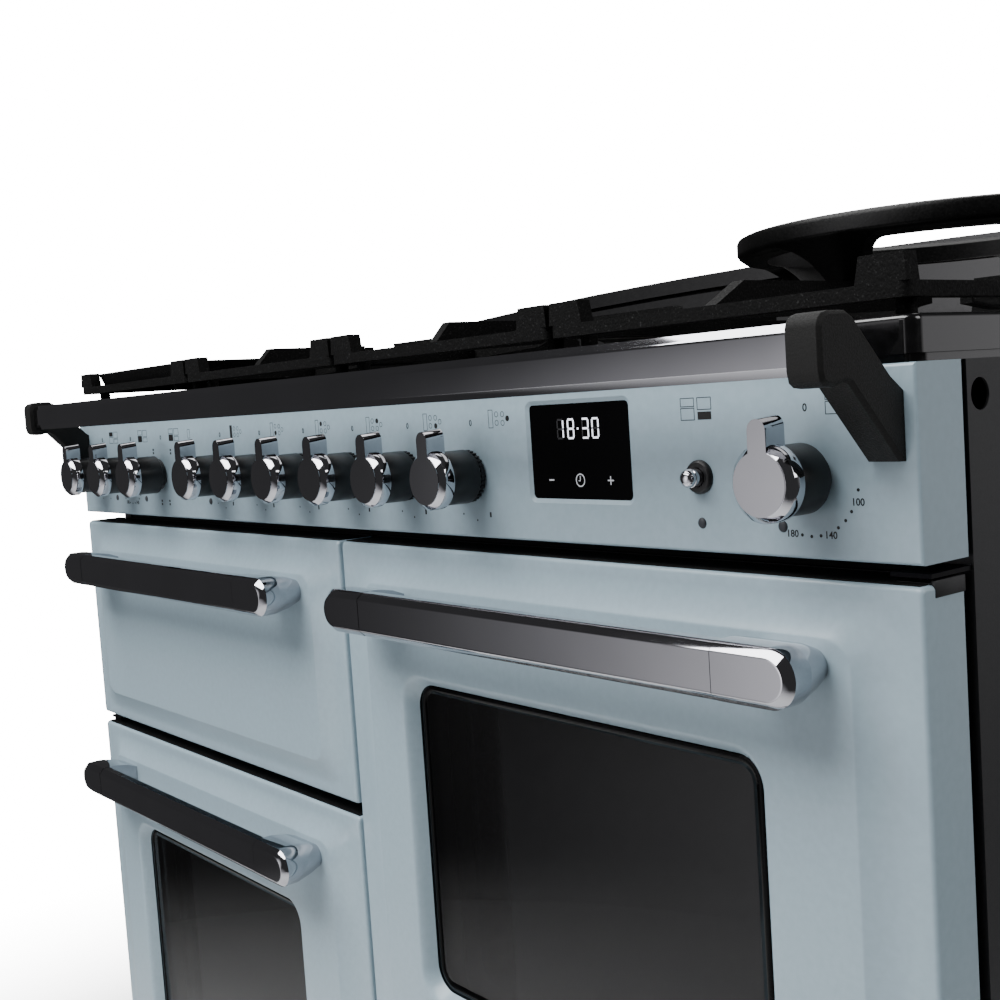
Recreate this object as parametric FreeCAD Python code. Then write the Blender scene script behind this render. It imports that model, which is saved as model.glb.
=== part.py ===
"""Dual fuel range cooker, 1092 mm wide: a gas hob above two electric ovens, a grill and a drawer.

The row frame: x runs to the right along the front, y runs from the front to the back, z is up from the floor.
The origin is at the middle of the footprint on the floor. Lengths are in millimetres.
"""
import FreeCAD
import Part
import math
import os

V = FreeCAD.Vector
AXIS_X = V(1, 0, 0)
AXIS_Y = V(0, 1, 0)
AXIS_Z = V(0, 0, 1)

# Overall size and the vertical stack of the front
body_width = 1092.0          # across the side panels, the fascia and the hob tray
body_depth = 608.0           # from the door fronts to the back
hob_height = 905.0           # floor to the top of the hob tray's lip
rail_reach = 64.0            # handrail brackets in front of the doors
tray_height = 19.5           # the hob tray's edge
tray_gap = 4.3               # shadow gap under the hob tray
fascia_height = 100.7
fascia_gap = 8.4             # between the fascia and the doors
door_gap = 9.1               # between a door and the one below it
small_door_height = 223.7    # grill door and drawer front
oven_door_height = 426.0
door_depth = 36.0
door_split = 5.0             # vertical gap between the two columns of doors
door_side_gap = 1.0          # door edge inside the cooker's width
plinth_gap = 8.3             # between the lowest doors and the plinth

# Sheet metal and general clearances
sheet = 1.5
liner_sheet = 1.2
running_gap = 0.3            # between a moving piece and what it rests on
pin_clearance = 0.05         # radial, a pin or spindle in its bore
overrun = 5.0                # a cutter stands this far out of what it cuts

# Places that the sizes give
front_y = rail_reach - (rail_reach + body_depth) / 2
back_y = front_y + body_depth
half_width = body_width / 2
tray_z = hob_height - tray_height
fascia_top_z = tray_z - tray_gap
fascia_z = fascia_top_z - fascia_height
doors_top_z = fascia_z - fascia_gap
door_outer_x = half_width - door_side_gap
door_inner_x = door_split / 2
door_back_y = front_y + door_depth

# Front frame and the mouths of the cavities
frame_setback = 44.5         # front frame behind the door fronts
panel_front_y = front_y + frame_setback
frame_y = panel_front_y + sheet
frame_back_y = frame_y + sheet
mouth_side = 48.0            # door edge to the mouth of its cavity, at the sides
mouth_end = 38.0             # the same, above and below
cavity_depth = 430.0
mouth_radius = 14.0

# Pressed door fronts
door_edge_radius = 4.0
pillow_side = 12.0           # flat border left and right of the raised centre
pillow_end = 9.0             # flat border above and below it
pillow_slope_side = 28.0     # width of the soft slope, left and right
pillow_slope_end = 21.0      # the same, above and below
pillow_height = 5.5
pillow_radius = 26.0         # corners at the slope's foot
pillow_top_radius = 15.0     # corners where the slope meets the raised centre
pillow_shares = ((0, 0), (0.35, 0.17), (0.7, 0.55), (1, 1))  # across the slope, and up its height
window_side = 108.0          # door edge to the glass
window_top = 106.0
window_bottom = 76.0
window_radius = 20.0
window_slope = 20.0
window_shares = (0.35, 0.3)  # the recess's middle: across its slope, and up the raised centre
glass_depth = 3.0            # glass face behind the door's flat border
glass_thickness = 4.0
glass_overlap = 18.0         # panes behind the window's edge
plug_inset = 6.0             # liner's plug inside the mouth
seal_width = 8.0

# Door handles
handle_length = 453.0
handle_drop = 46.0           # door top to the handle's middle
handle_reach = 50.0
handle_height = 29.0
handle_face_height = 23.6
handle_bevel = 2.7
handle_root_height = 20.0
handle_end_taper = 9.0
handle_block = 53.0          # length of each end block
handle_bar_depth = 17.0
handle_bar_inset = 0.5       # the middle bar is this much slimmer than the end blocks
handle_seat_share = 0.55     # of the raised centre's height, where an end block meets the door
stadium_share = 0.499        # corner radius of a rounded end, of its height

# Knobs
knob_height = 43.7           # above the fascia's lower edge
knob_face_radius = 17.0
knob_face_y = 41.0           # in front of the fascia
knob_ring_radius = 21.0
knob_ring_front = 30.5
knob_ring_back = 25.0
knob_skirt_radius = 19.0
knob_base_radius = 17.4
knob_base_depth = 5.0
knob_skirt_wall = 4.0
knob_chamfer = 3.0
lever_width = 12.0
lever_top = 33.6             # above the knob's axis
spindle_radius = 4.0
spindle_length = 26.0        # behind the fascia's face
spindle_play = 2.0           # the fascia's hole around a spindle
skirt_gap = 0.6              # behind the skirt's rim
knob_boss_radius = 9.0
knob_shares = {
    "knob_grill": -0.89652,
    "knob_left_oven_function": -0.75641,
    "knob_left_oven_heat": -0.6163,
    "knob_griddle_burner": -0.373626,
    "knob_front_left_burner": -0.231502,
    "knob_rear_left_burner": -0.089377,
    "knob_rear_right_burner": 0.052747,
    "knob_front_right_burner": 0.194872,
    "knob_wok_burner": 0.336996,
    "knob_right_oven": 0.877289,
}
knob_places = {name: half_width * share for name, share in knob_shares.items()}
gas_knobs = [name for name in knob_places if name.endswith("burner")]

# Fascia fittings
fascia_depth = 40.0
fascia_edge_radius = 2.0
fascia_lug_width = 22.0
display_width = 93.3
display_middle_share = 0.544963  # of half the cooker's width
display_x0 = half_width * display_middle_share - display_width / 2
display_x1 = display_x0 + display_width
display_z0 = 29.0            # above the fascia's lower edge
display_z1 = 90.3
display_bevel = 3.0
display_inset = 1.6
display_depth = 18.0
button_place_share = 0.735348  # of half the cooker's width
button_x = half_width * button_place_share
button_radius = 5.5
button_reach = 14.0
button_stem_radius = 3.0
button_bezel_radius = 10.0
button_bezel_height = 3.2
button_bezel_step = 2.0      # bezel's flange outside its hole
button_travel = 4.0
lamp_height = 17.0           # lamp above the fascia's lower edge
lamp_radius = 3.25
lamp_reach = 1.2
lamp_shares = (0.734982, 0.842491)  # one lamp under the button, one beside the right oven knob
lamp_places = [half_width * share for share in lamp_shares]

# Handrail
rail_end_inset = 27.0        # the bar's end inside the cooker's side
rail_half_length = half_width - rail_end_inset
rail_front = 60.0
rail_z0 = 96.9               # above the fascia's lower edge
rail_z1 = 122.5
rail_depth = 15.0
rail_edge = 3.0
bracket_thickness = 20.0
bracket_chamfer = 2.0
bracket_height = 74.8
bracket_above = 4.4          # bracket's top above the bar's

# Hob
tray_corner_radius = 8.0
tray_lip = 14.0
tray_well_depth = 9.0
tray_lip_radius = 3.0
tray_seat = 6.0              # the tray's seat inside its edge
foot_inset_x = 15.0
foot_inset_y = 21.0
module_width = 268.0
module_gap = 3.0
support_front = 4.5          # front of the cast supports behind the tray's edge
support_depth = 560.0
support_z0 = 8.5             # above the lip
support_bar_height = 8.0
support_bar_width = 11.0
support_top = 31.0           # finger tops above the lip
griddle_bar_shares = (0.2, 0.4, 0.6, 0.8)
lug_length = 31.0
lug_depth = 18.0
finger_width = 9.0
front_burner_y = 148.0       # behind the door fronts
rear_burner_y = 420.0
single_burner_y = 250.0
burner_flange = 5.0
cap_thickness = 6.0
crown_height = 11.0
cup_depth = 24.0
griddle_burner_length = 190.0
round_end_share = 0.99       # corner radius of the long burner's ends, of its half width
port_width = 3.0             # slots in the burner crowns
port_count = 8
finger_inner = 24.0          # a finger's tip from the burner's axis
burner_radii = {
    "front_left": 36.0,
    "rear_left": 49.0,
    "rear_right": 27.0,
    "front_right": 36.0,
    "wok": 62.0,
    "griddle": 22.0,
}

# Wok cradle
cradle_radius = 138.0
cradle_top = 70.0            # above the lip
cradle_rim = 20.0
cradle_rim_height = 9.0
cradle_foot_radius = 108.0
cradle_wall = 9.0
cradle_arch_share = 0.8      # share of each quarter that the arch opens
cradle_count = 4
cradle_soft_share = 0.35     # chamfered corner of an arch, of its height

# Griddle plate
griddle_thickness = 12.0
griddle_wall = 9.0
griddle_flare = 6.0

# Rear flue trim
flue_depth = 28.0
flue_end_height = 84.0       # above the lip, at the ends
flue_middle_height = 100.0   # above the lip, in the middle
flue_wall = 2.0
flue_cap = 11.0
flue_slot = 5.0
flue_slot_drop = 21.0

# Carcass
panel_flange = 18.0
panel_bottom_z = 30.0
back_recess = 30.0           # back panel in front of the side panels' back edges
louvre_length = 78.0
louvre_width = 4.5
louvre_pitch = 18.0
louvre_rows = 6
louvre_middle_shares = (-0.33, -0.11, 0.11, 0.33)  # of the cooker's width
chassis_height = 30.0
chassis_z = 75.0
chassis_front = 54.0         # behind the door fronts
plinth_z = 12.0
foot_radius = 20.0
foot_pad_height = 12.0
foot_stud_radius = 5.0
foot_nut_radius = 10.0
foot_nut_height = 12.0
foot_side_inset = 66.0       # foot axis inside the cooker's side
foot_place_x = half_width - foot_side_inset
foot_place_y = 50.0          # foot axis inside the chassis edges
boss_radius = 11.0           # threaded boss around each foot's stud
control_mouth_side = 34.0
side_hole_radius = 8.5
side_hole_y = 12.0           # behind the side panel's front edge
side_hole_drop = 18.2        # below the fascia's top

# Hinges
hinge_pin_radius = 4.0
hinge_x = 12.0               # pin axis inside the door's outer edge
hinge_y = 20.0               # pin axis behind the door front
hinge_pin_length = 16.0
hinge_plate = 2.4
hinge_plate_gap = 1.0
hinge_plate_width = 24.0
hinge_bush = 10.0            # half width of the bush block in the door
drop_hinge_y = 10.0
drop_hinge_z = 9.0
drop_arm_thickness = 3.0
drop_arm_height = 11.0
drop_arm_inset = 60.0
drop_slot = 5.0
drop_play = 1.1              # slot around the swing of an arm

# Ovens
oven_level_shares = (0.1, 0.55)  # height of each shelf in its oven
grill_level_share = 0.3
rail_rib = 9.0               # shelf rail proud of the cavity wall
rail_rib_height = 6.0
shelf_wire_radius = 3.0
shelf_wires = 9
shelf_gap = 2.0
shelf_depth = 330.0
shelf_front = 20.0
fan_radius = 70.0
fan_blades = 12
fan_blade_depth = 22.0
fan_blade_shares = (0.62, 0.98)  # a blade's ends, of the fan's radius
fan_blade_turn = 30.0        # degrees from the radius
fan_hub_radius = 14.0
fan_shaft_radius = 4.0
fan_wall_gap = 6.0
fan_cover_gap = 40.0         # cover plate in front of the back wall
fan_cover_half = 120.0
fan_cover_slot = 10.0
fan_cover_slots = 8
fan_cover_slot_shares = (0.2, 0.55)  # a slot's ends, of the cover's half width
motor_radius = 32.0
motor_length = 38.0
motor_shoulder_share = 0.8   # of the motor's length and of its radius
element_radius = 3.5
element_bend = 30.0
element_drop = 16.0          # below the grill's roof
element_runs = 6
bend_steps = 6               # flats round each half turn
pan_height = 24.0            # grill pan's floor below its flange

# Drawer
drawer_side_gap = 16.0       # drawer box inside the mouth, each side
drawer_floor_gap = 8.0
drawer_wall_height = 130.0
drawer_depth = 420.0
drawer_rail_thickness = 7.0
drawer_rail_height = 26.0
runner_wall = 3.0

# Gas rail and terminal box
pipe_radius = 8.0
tap_radius = 9.0
tap_front = 8.0              # behind the fascia's face
gas_pipe_inset = 30.0        # feed pipe inside the cooker's width
gas_pipe_x = gas_pipe_inset - half_width
manifold_z = fascia_z + knob_height
inlet_radius = 9.3
inlet_wall = 4.0
inlet_length = 26.0
inlet_thread = 15.0
terminal_width = 90.0
terminal_height = 70.0
terminal_depth = 22.0
terminal_inset = 153.0       # the box's far side inside the cooker's width
terminal_z = 135.0
terminal_wall = 3.0
gland_radius = 7.0
gland_wall = 9.0


def block(x0, x1, y0, y1, z0, z1):
    """A rectangular block between two corners."""
    return Part.makeBox(x1 - x0, y1 - y0, z1 - z0, V(x0, y0, z0))


def rod_x(x0, x1, y, z, radius):
    """A round bar along x."""
    return Part.makeCylinder(radius, x1 - x0, V(x0, y, z), AXIS_X)


def rod_y(x, y0, y1, z, radius):
    """A round bar along y."""
    return Part.makeCylinder(radius, y1 - y0, V(x, y0, z), AXIS_Y)


def rod_z(x, y, z0, z1, radius):
    """A round bar along z."""
    return Part.makeCylinder(radius, z1 - z0, V(x, y, z0), AXIS_Z)


def fused(pieces):
    """All the pieces as one solid, with the seams between flat faces taken out."""
    return pieces[0].fuse(pieces[1:]).removeSplitter()


def group(pieces):
    """Separate solids that share one node."""
    return Part.makeCompound(pieces)


def mirrored(shape):
    """The piece on the other side of the cooker's middle."""
    return shape.mirror(V(0, 0, 0), AXIS_X)


def round_frame(place, x0, x1, z0, z1, radius):
    """A wire around a rectangle with round corners; place(x, z) puts each of its points."""
    tilt = radius * (1 - math.sqrt(0.5))
    corners = [(x0, z0, 1, 1), (x1, z0, -1, 1), (x1, z1, -1, -1), (x0, z1, 1, -1)]
    edges = []
    for number, (cx, cz, sx, sz) in enumerate(corners):
        first = (cx, cz + sz * radius)
        last = (cx + sx * radius, cz)
        if number % 2:
            first, last = last, first
        middle = (cx + sx * tilt, cz + sz * tilt)
        edges.append(Part.Arc(place(*first), place(*middle), place(*last)).toShape())
        nx, nz, tx, tz = corners[(number + 1) % len(corners)]
        along = (nx + tx * radius, nz) if number % 2 == 0 else (nx, nz + tz * radius)
        edges.append(Part.LineSegment(place(*last), place(*along)).toShape())
    return Part.Wire(edges)


def upright_wire(x0, x1, z0, z1, radius, y):
    """A round-cornered rectangle that stands in the plane y."""
    return round_frame(lambda x, z: V(x, y, z), x0, x1, z0, z1, radius)


def flat_wire(x0, x1, y0, y1, radius, z):
    """A round-cornered rectangle that lies in the plane z."""
    return round_frame(lambda x, y: V(x, y, z), x0, x1, y0, y1, radius)


def upright_plate(x0, x1, z0, z1, radius, y0, y1):
    """A round-cornered plate between two upright planes."""
    return Part.Face(upright_wire(x0, x1, z0, z1, radius, y0)).extrude(V(0, y1 - y0, 0))


def flat_plate(x0, x1, y0, y1, radius, z0, z1):
    """A round-cornered plate between two level planes."""
    return Part.Face(flat_wire(x0, x1, y0, y1, radius, z0)).extrude(V(0, 0, z1 - z0))


def turned(points, centre, axis, side):
    """A solid of revolution: points are (radius, height) along the axis, side is the direction of radius."""
    placed = [centre + side * radius + axis * height for radius, height in points]
    outline = Part.makePolygon(placed + placed[:1])
    return Part.Face(outline).revolve(centre, axis, 360)


def profile_x(points, x0, x1):
    """A solid whose outline of (y, z) points runs from x0 to x1."""
    outline = Part.makePolygon([V(x0, y, z) for y, z in points + points[:1]])
    return Part.Face(outline).extrude(V(x1 - x0, 0, 0))


def profile_y(points, y0, y1):
    """A solid whose outline of (x, z) points runs from y0 to y1."""
    outline = Part.makePolygon([V(x, y0, z) for x, z in points + points[:1]])
    return Part.Face(outline).extrude(V(0, y1 - y0, 0))


class Bay:
    """One door's place on the front: its edges, and the mouth of the cavity behind it."""

    def __init__(self, x0, x1, z1, height):
        self.x0 = x0
        self.x1 = x1
        self.z0 = z1 - height
        self.z1 = z1
        self.mouth_x0 = x0 + mouth_side
        self.mouth_x1 = x1 - mouth_side
        self.mouth_z0 = self.z0 + mouth_end
        self.mouth_z1 = self.z1 - mouth_end


grill_bay = Bay(-door_outer_x, -door_inner_x, doors_top_z, small_door_height)
left_bay = Bay(-door_outer_x, -door_inner_x, grill_bay.z0 - door_gap, oven_door_height)
right_bay = Bay(door_inner_x, door_outer_x, doors_top_z, oven_door_height)
drawer_bay = Bay(door_inner_x, door_outer_x, right_bay.z0 - door_gap, small_door_height)
plinth_top_z = left_bay.z0 - plinth_gap
bays = [grill_bay, left_bay, right_bay, drawer_bay]


def side_panel():
    """The right side panel: a sheet with folded flanges, and a round access hole near its front top."""
    outer = block(half_width - panel_flange, half_width, panel_front_y, back_y, panel_bottom_z, fascia_top_z)
    inner = block(
        half_width - panel_flange - overrun, half_width - sheet,
        panel_front_y + sheet, back_y - sheet, panel_bottom_z + sheet, fascia_top_z - sheet,
    )
    hole = rod_x(half_width - sheet - overrun, half_width + overrun, panel_front_y + side_hole_y,
                 fascia_top_z - side_hole_drop, side_hole_radius)
    return outer.cut([inner, hole])


def front_frame():
    """The welded front sheet with a mouth for each bay and one behind the fascia."""
    half = half_width - sheet
    plate = block(-half, half, frame_y, frame_back_y, chassis_z, fascia_top_z - sheet)
    top_flange = block(-half + panel_flange, half - panel_flange, frame_y, frame_y + panel_flange,
                       fascia_top_z - sheet, fascia_top_z)
    mouths = []
    for bay in bays:
        mouths.append(upright_plate(bay.mouth_x0, bay.mouth_x1, bay.mouth_z0, bay.mouth_z1,
                                    mouth_radius, frame_y - overrun, frame_back_y + overrun))
    control = upright_plate(-half + control_mouth_side, half - control_mouth_side,
                            fascia_z + fascia_gap, fascia_top_z - fascia_gap,
                            mouth_radius, frame_y - overrun, frame_back_y + overrun)
    return fused([plate, top_flange]).cut(mouths + [control])


def base_frame():
    """The chassis: a sheet tray open below, with a threaded boss for each levelling foot."""
    half = half_width - sheet
    y0 = front_y + chassis_front
    y1 = back_y - back_recess
    top = chassis_z + chassis_height
    shell = block(-half, half, y0, y1, chassis_z, top)
    hollow = block(-half + sheet, half - sheet, y0 + sheet, y1 - sheet, chassis_z - overrun, top - sheet)
    tray = shell.cut(hollow)
    reach = boss_radius
    bosses = []
    studs = []
    for x, y in foot_places():
        bosses.append(block(x - reach, x + reach, y - reach, y + reach, chassis_z, top - sheet))
        studs.append(rod_z(x, y, chassis_z - overrun, top - sheet, foot_stud_radius + pin_clearance))
    spacers = [block(x, x + sheet, frame_back_y, y0, chassis_z, top) for x in (-half, half - sheet)]
    return fused([tray] + bosses + spacers).cut(studs)


def foot_places():
    """The axes of the four levelling feet."""
    y0 = front_y + chassis_front + foot_place_y
    y1 = back_y - back_recess - foot_place_y
    return [(x, y) for x in (-foot_place_x, foot_place_x) for y in (y0, y1)]


def levelling_feet():
    """Four feet: a pad, a hexagon to turn it by, and a stud that screws into the chassis."""
    feet = []
    hexagon_radius = foot_nut_radius
    top = chassis_z + chassis_height - sheet
    for x, y in foot_places():
        pad = turned([(0, 0), (foot_radius, 0), (hexagon_radius, foot_pad_height), (0, foot_pad_height)],
                     V(x, y, 0), AXIS_Z, AXIS_X)
        nut = Part.Face(hexagon(V(x, y, foot_pad_height), AXIS_X, AXIS_Y, hexagon_radius))
        nut = nut.extrude(V(0, 0, foot_nut_height))
        stud = rod_z(x, y, foot_pad_height, top, foot_stud_radius)
        feet.append(fused([pad, nut, stud]))
    return group(feet)


def plinth():
    """The kick panel under the doors, with ends that return to the chassis."""
    half = half_width - panel_flange
    y0 = frame_back_y + running_gap
    y1 = front_y + chassis_front
    front = block(-half, half, y1 - sheet, y1, plinth_z, plinth_top_z)
    returns = [block(x, x + sheet, y1, y1 + panel_flange, plinth_z, chassis_z) for x in (-half, half - sheet)]
    lower_fold = block(-half, half, y1, y1 + panel_flange, plinth_z, plinth_z + sheet)
    trim = block(-half - overrun, half + overrun, y0 - overrun, y0, plinth_z, plinth_top_z)
    return fused([front, lower_fold] + returns).cut(trim)


def back_panel():
    """The sheet at the back, with rows of louvre slots and holes for the gas pipe and the cable."""
    half = half_width - sheet
    y1 = back_y - back_recess + sheet
    plate = block(-half, half, y1 - sheet, y1, chassis_z, fascia_top_z - sheet)
    cutters = [rod_y(gas_pipe_x, y1 - sheet - overrun, y1 + overrun, manifold_z, pipe_radius + running_gap)]
    for share in louvre_middle_shares:
        middle = body_width * share
        for row in range(louvre_rows):
            z = left_bay.z1 + row * louvre_pitch
            cutters.append(block(middle - louvre_length / 2, middle + louvre_length / 2,
                                 y1 - sheet - overrun, y1 + overrun, z, z + louvre_width))
    return plate.cut(cutters)


def pressed_front(bay, slack, depth):
    """The outer form of a pressed door front, or of its inside when slack is the sheet's thickness."""
    y0 = front_y + slack
    body = block(bay.x0 + slack, bay.x1 - slack, y0, front_y + depth, bay.z0 + slack, bay.z1 - slack)
    if not slack:
        front_edges = [e for e in body.Edges if all(abs(v.Y - y0) < overrun / 100 for v in e.Vertexes)]
        body = body.makeFillet(door_edge_radius, front_edges)
    sections = []
    for across, rise in pillow_shares:
        side = pillow_side + pillow_slope_side * across + slack
        end = pillow_end + pillow_slope_end * across + slack
        radius = pillow_radius + (pillow_top_radius - pillow_radius) * across
        sections.append(upright_wire(bay.x0 + side, bay.x1 - side, bay.z0 + end, bay.z1 - end,
                                     radius, y0 - pillow_height * rise))
    pillow = Part.makeLoft(sections, True, True)
    return body.fuse(pillow)


def window_funnel(bay, grow, y1):
    """The soft recess around a window, from the raised centre down to the glass; grow adds the sheet."""
    wires = []
    across, rise = window_shares
    y_middle = front_y - pillow_height * rise
    stations = ((window_slope, front_y - pillow_height), (window_slope * across, y_middle), (0, y1))
    for spread, y in stations:
        wires.append(upright_wire(
            bay.x0 + window_side - spread - grow, bay.x1 - window_side + spread + grow,
            bay.z0 + window_bottom - spread - grow, bay.z1 - window_top + spread + grow,
            window_radius + spread / 2 + grow, y))
    return Part.makeLoft(wires, True, True)


def door_skin(bay, with_window):
    """A pressed sheet-steel front: rounded edges, a raised centre, and a window recess on the oven doors."""
    skin = pressed_front(bay, 0, door_depth).cut(pressed_front(bay, sheet, door_depth + overrun))
    if with_window:
        glass_y = front_y + glass_depth
        skin = skin.fuse(window_funnel(bay, sheet, glass_y))
        opening = window_funnel(bay, 0, glass_y)
        above = opening.translated(V(0, -sheet, 0))
        below = upright_plate(bay.x0 + window_side, bay.x1 - window_side, bay.z0 + window_bottom,
                              bay.z1 - window_top, window_radius, glass_y - sheet, glass_y + overrun)
        skin = skin.cut([opening, above, below])
    return skin


def window_glass(bay):
    """The outer and the inner pane of an oven door."""
    x0 = bay.x0 + window_side - glass_overlap
    x1 = bay.x1 - window_side + glass_overlap
    z0 = bay.z0 + window_bottom - glass_overlap
    z1 = bay.z1 - window_top + glass_overlap
    panes = []
    for y in (front_y + glass_depth, door_back_y - sheet - glass_thickness):
        panes.append(upright_plate(x0, x1, z0, z1, window_radius, y, y + glass_thickness))
    return group(panes)


def door_liner(bay, with_window, hinge_side):
    """The door's inner panel with its raised plug; hinge_side is -1 or 1 for a door hung on pins."""
    y0 = door_back_y - sheet
    plug = liner_plug_depth()
    plate = block(bay.x0 + sheet, bay.x1 - sheet, y0, door_back_y, bay.z0 + sheet, bay.z1 - sheet)
    wires = []
    for inset, y in ((plug_inset, door_back_y), (plug_inset * 2, door_back_y + plug)):
        wires.append(upright_wire(bay.mouth_x0 + inset, bay.mouth_x1 - inset,
                                  bay.mouth_z0 + inset, bay.mouth_z1 - inset, mouth_radius, y))
    pieces = [plate, Part.makeLoft(wires, True, True)]
    cutters = []
    if with_window:
        cutters.append(upright_plate(bay.x0 + window_side, bay.x1 - window_side,
                                     bay.z0 + window_bottom, bay.z1 - window_top, window_radius,
                                     y0 - overrun, door_back_y + plug + overrun))
    if hinge_side:
        x = hinge_axis_x(bay, hinge_side)
        y = front_y + hinge_y
        length = hinge_bush * 2
        for z0 in (bay.z0 + sheet, bay.z1 - sheet - length):
            pieces.append(block(x - hinge_bush, x + hinge_bush, y - hinge_bush, door_back_y, z0, z0 + length))
        cutters.append(rod_z(x, y, bay.z0 - overrun, bay.z1 + overrun, hinge_pin_radius + pin_clearance))
    return fused(pieces).cut(cutters)


def liner_plug_depth():
    """How far a liner's plug stands into the mouth's seal."""
    return (frame_y - door_back_y) * 0.6


def hinge_axis_x(bay, side):
    """The vertical pin axis of a side-hung door."""
    return bay.x1 - hinge_x if side > 0 else bay.x0 + hinge_x


def hung_skin(bay, with_window, hinge_side):
    """A door front with the two holes that its hinge pins pass through."""
    x = hinge_axis_x(bay, hinge_side)
    hole = rod_z(x, front_y + hinge_y, bay.z0 - overrun, bay.z1 + overrun, hinge_pin_radius + running_gap)
    return door_skin(bay, with_window).cut(hole)


def drop_arm_places():
    """Where the grill door's two hinge arms stand."""
    return (grill_bay.x0 + drop_arm_inset, grill_bay.x1 - drop_arm_inset)


def drop_slots():
    """The slots in the grill door's back and bottom that its hinge arms swing through."""
    z1 = grill_bay.z0 + drop_hinge_z + drop_arm_height / 2 + drop_play
    y0 = front_y + drop_hinge_y - drop_arm_height / 2 - drop_play
    return [block(x - drop_slot / 2, x + drop_slot / 2, y0, door_back_y + overrun, grill_bay.z0 - overrun, z1)
            for x in drop_arm_places()]


def grill_door_liner():
    """The grill door's inner panel, with a pin between two lugs at each hinge arm."""
    liner = door_liner(grill_bay, False, 0).cut(drop_slots())
    y = front_y + drop_hinge_y
    z = grill_bay.z0 + drop_hinge_z
    lug = drop_arm_height / 2
    pieces = [liner]
    for x in drop_arm_places():
        for side in (-1, 1):
            inner = x + side * drop_slot / 2
            outer = inner + side * lug
            pieces.append(block(min(inner, outer), max(inner, outer), y - lug, door_back_y - sheet,
                                grill_bay.z0 + sheet, z + lug))
        pieces.append(rod_x(x - drop_slot, x + drop_slot, y, z, hinge_pin_radius))
    return fused(pieces)


def hinge_brackets():
    """Pin plates of the two side-hung doors and the two arms of the drop-down grill door."""
    pieces = []
    y = front_y + hinge_y
    for bay, side in ((left_bay, -1), (right_bay, 1)):
        x = hinge_axis_x(bay, side)
        x0, x1 = sorted((x - side * hinge_plate_width / 2, side * door_outer_x))
        for level, way in ((bay.z1 + hinge_plate_gap, -1), (bay.z0 - hinge_plate_gap - hinge_plate, 1)):
            plate = block(x0, x1, y - hinge_plate_width / 2, panel_front_y, level, level + hinge_plate)
            top = level if way < 0 else level + hinge_plate
            z0, z1 = sorted((top, top + way * hinge_pin_length))
            pin = rod_z(x, y, z0, z1, hinge_pin_radius)
            pieces.append(fused([plate, pin]))
    arm_y = front_y + drop_hinge_y
    arm_z = grill_bay.z0 + drop_hinge_z
    for x in drop_arm_places():
        half = drop_arm_thickness / 2
        tall = drop_arm_height / 2
        arm = block(x - half, x + half, arm_y, frame_y, arm_z - tall, arm_z + tall)
        nose = rod_x(x - half, x + half, arm_y, arm_z, tall)
        hole = rod_x(x - drop_slot, x + drop_slot, arm_y, arm_z, hinge_pin_radius + pin_clearance)
        pieces.append(fused([arm, nose]).cut(hole))
    return group(pieces)


def door_seals():
    """A rope seal on the front frame around each mouth."""
    rings = []
    width = seal_width
    for bay in (grill_bay, left_bay, right_bay, drawer_bay):
        y0 = door_back_y + running_gap
        outer = upright_plate(bay.mouth_x0 - width, bay.mouth_x1 + width, bay.mouth_z0 - width,
                              bay.mouth_z1 + width, mouth_radius + width, y0, frame_y)
        inner = upright_plate(bay.mouth_x0, bay.mouth_x1, bay.mouth_z0, bay.mouth_z1,
                              mouth_radius, y0 - overrun, frame_y + overrun)
        rings.append(outer.cut(inner))
    return group(rings)


def handle(bay):
    """A bar handle: two solid end blocks that stand on the door, and a slimmer bar between them."""
    z = bay.z1 - handle_drop
    middle = (bay.x0 + bay.x1) / 2
    half = handle_length / 2
    y_face = front_y - handle_reach
    sections = []
    for inset, height, y in (
        (handle_bevel, handle_face_height, y_face),
        (0, handle_height, y_face + handle_bevel),
        (0, handle_height, y_face + handle_bar_depth),
        (handle_end_taper, handle_root_height, front_y - pillow_height * handle_seat_share),
    ):
        sections.append(upright_wire(middle - half + inset, middle + half - inset,
                                     z - height / 2, z + height / 2, height * stadium_share, y))
    whole = Part.makeLoft(sections, True, True)
    y_far = front_y + overrun
    inner_half = half - handle_block
    slim = handle_bar_inset
    ends = []
    for side in (-1, 1):
        x0, x1 = sorted((middle + side * inner_half, middle + side * (half + overrun)))
        ends.append(whole.common(block(x0, x1, y_face - overrun, y_far, z - handle_height, z + handle_height)))
    tall = handle_height / 2 - slim
    core = block(middle - inner_half, middle + inner_half, y_face + slim, y_face + handle_bar_depth,
                 z - tall, z + tall)
    bar = whole.common(core)
    seat = pressed_front(bay, 0, door_depth)
    ends = [end.cut(seat) for end in ends]
    return group([ends[0], bar, ends[1]])


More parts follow.
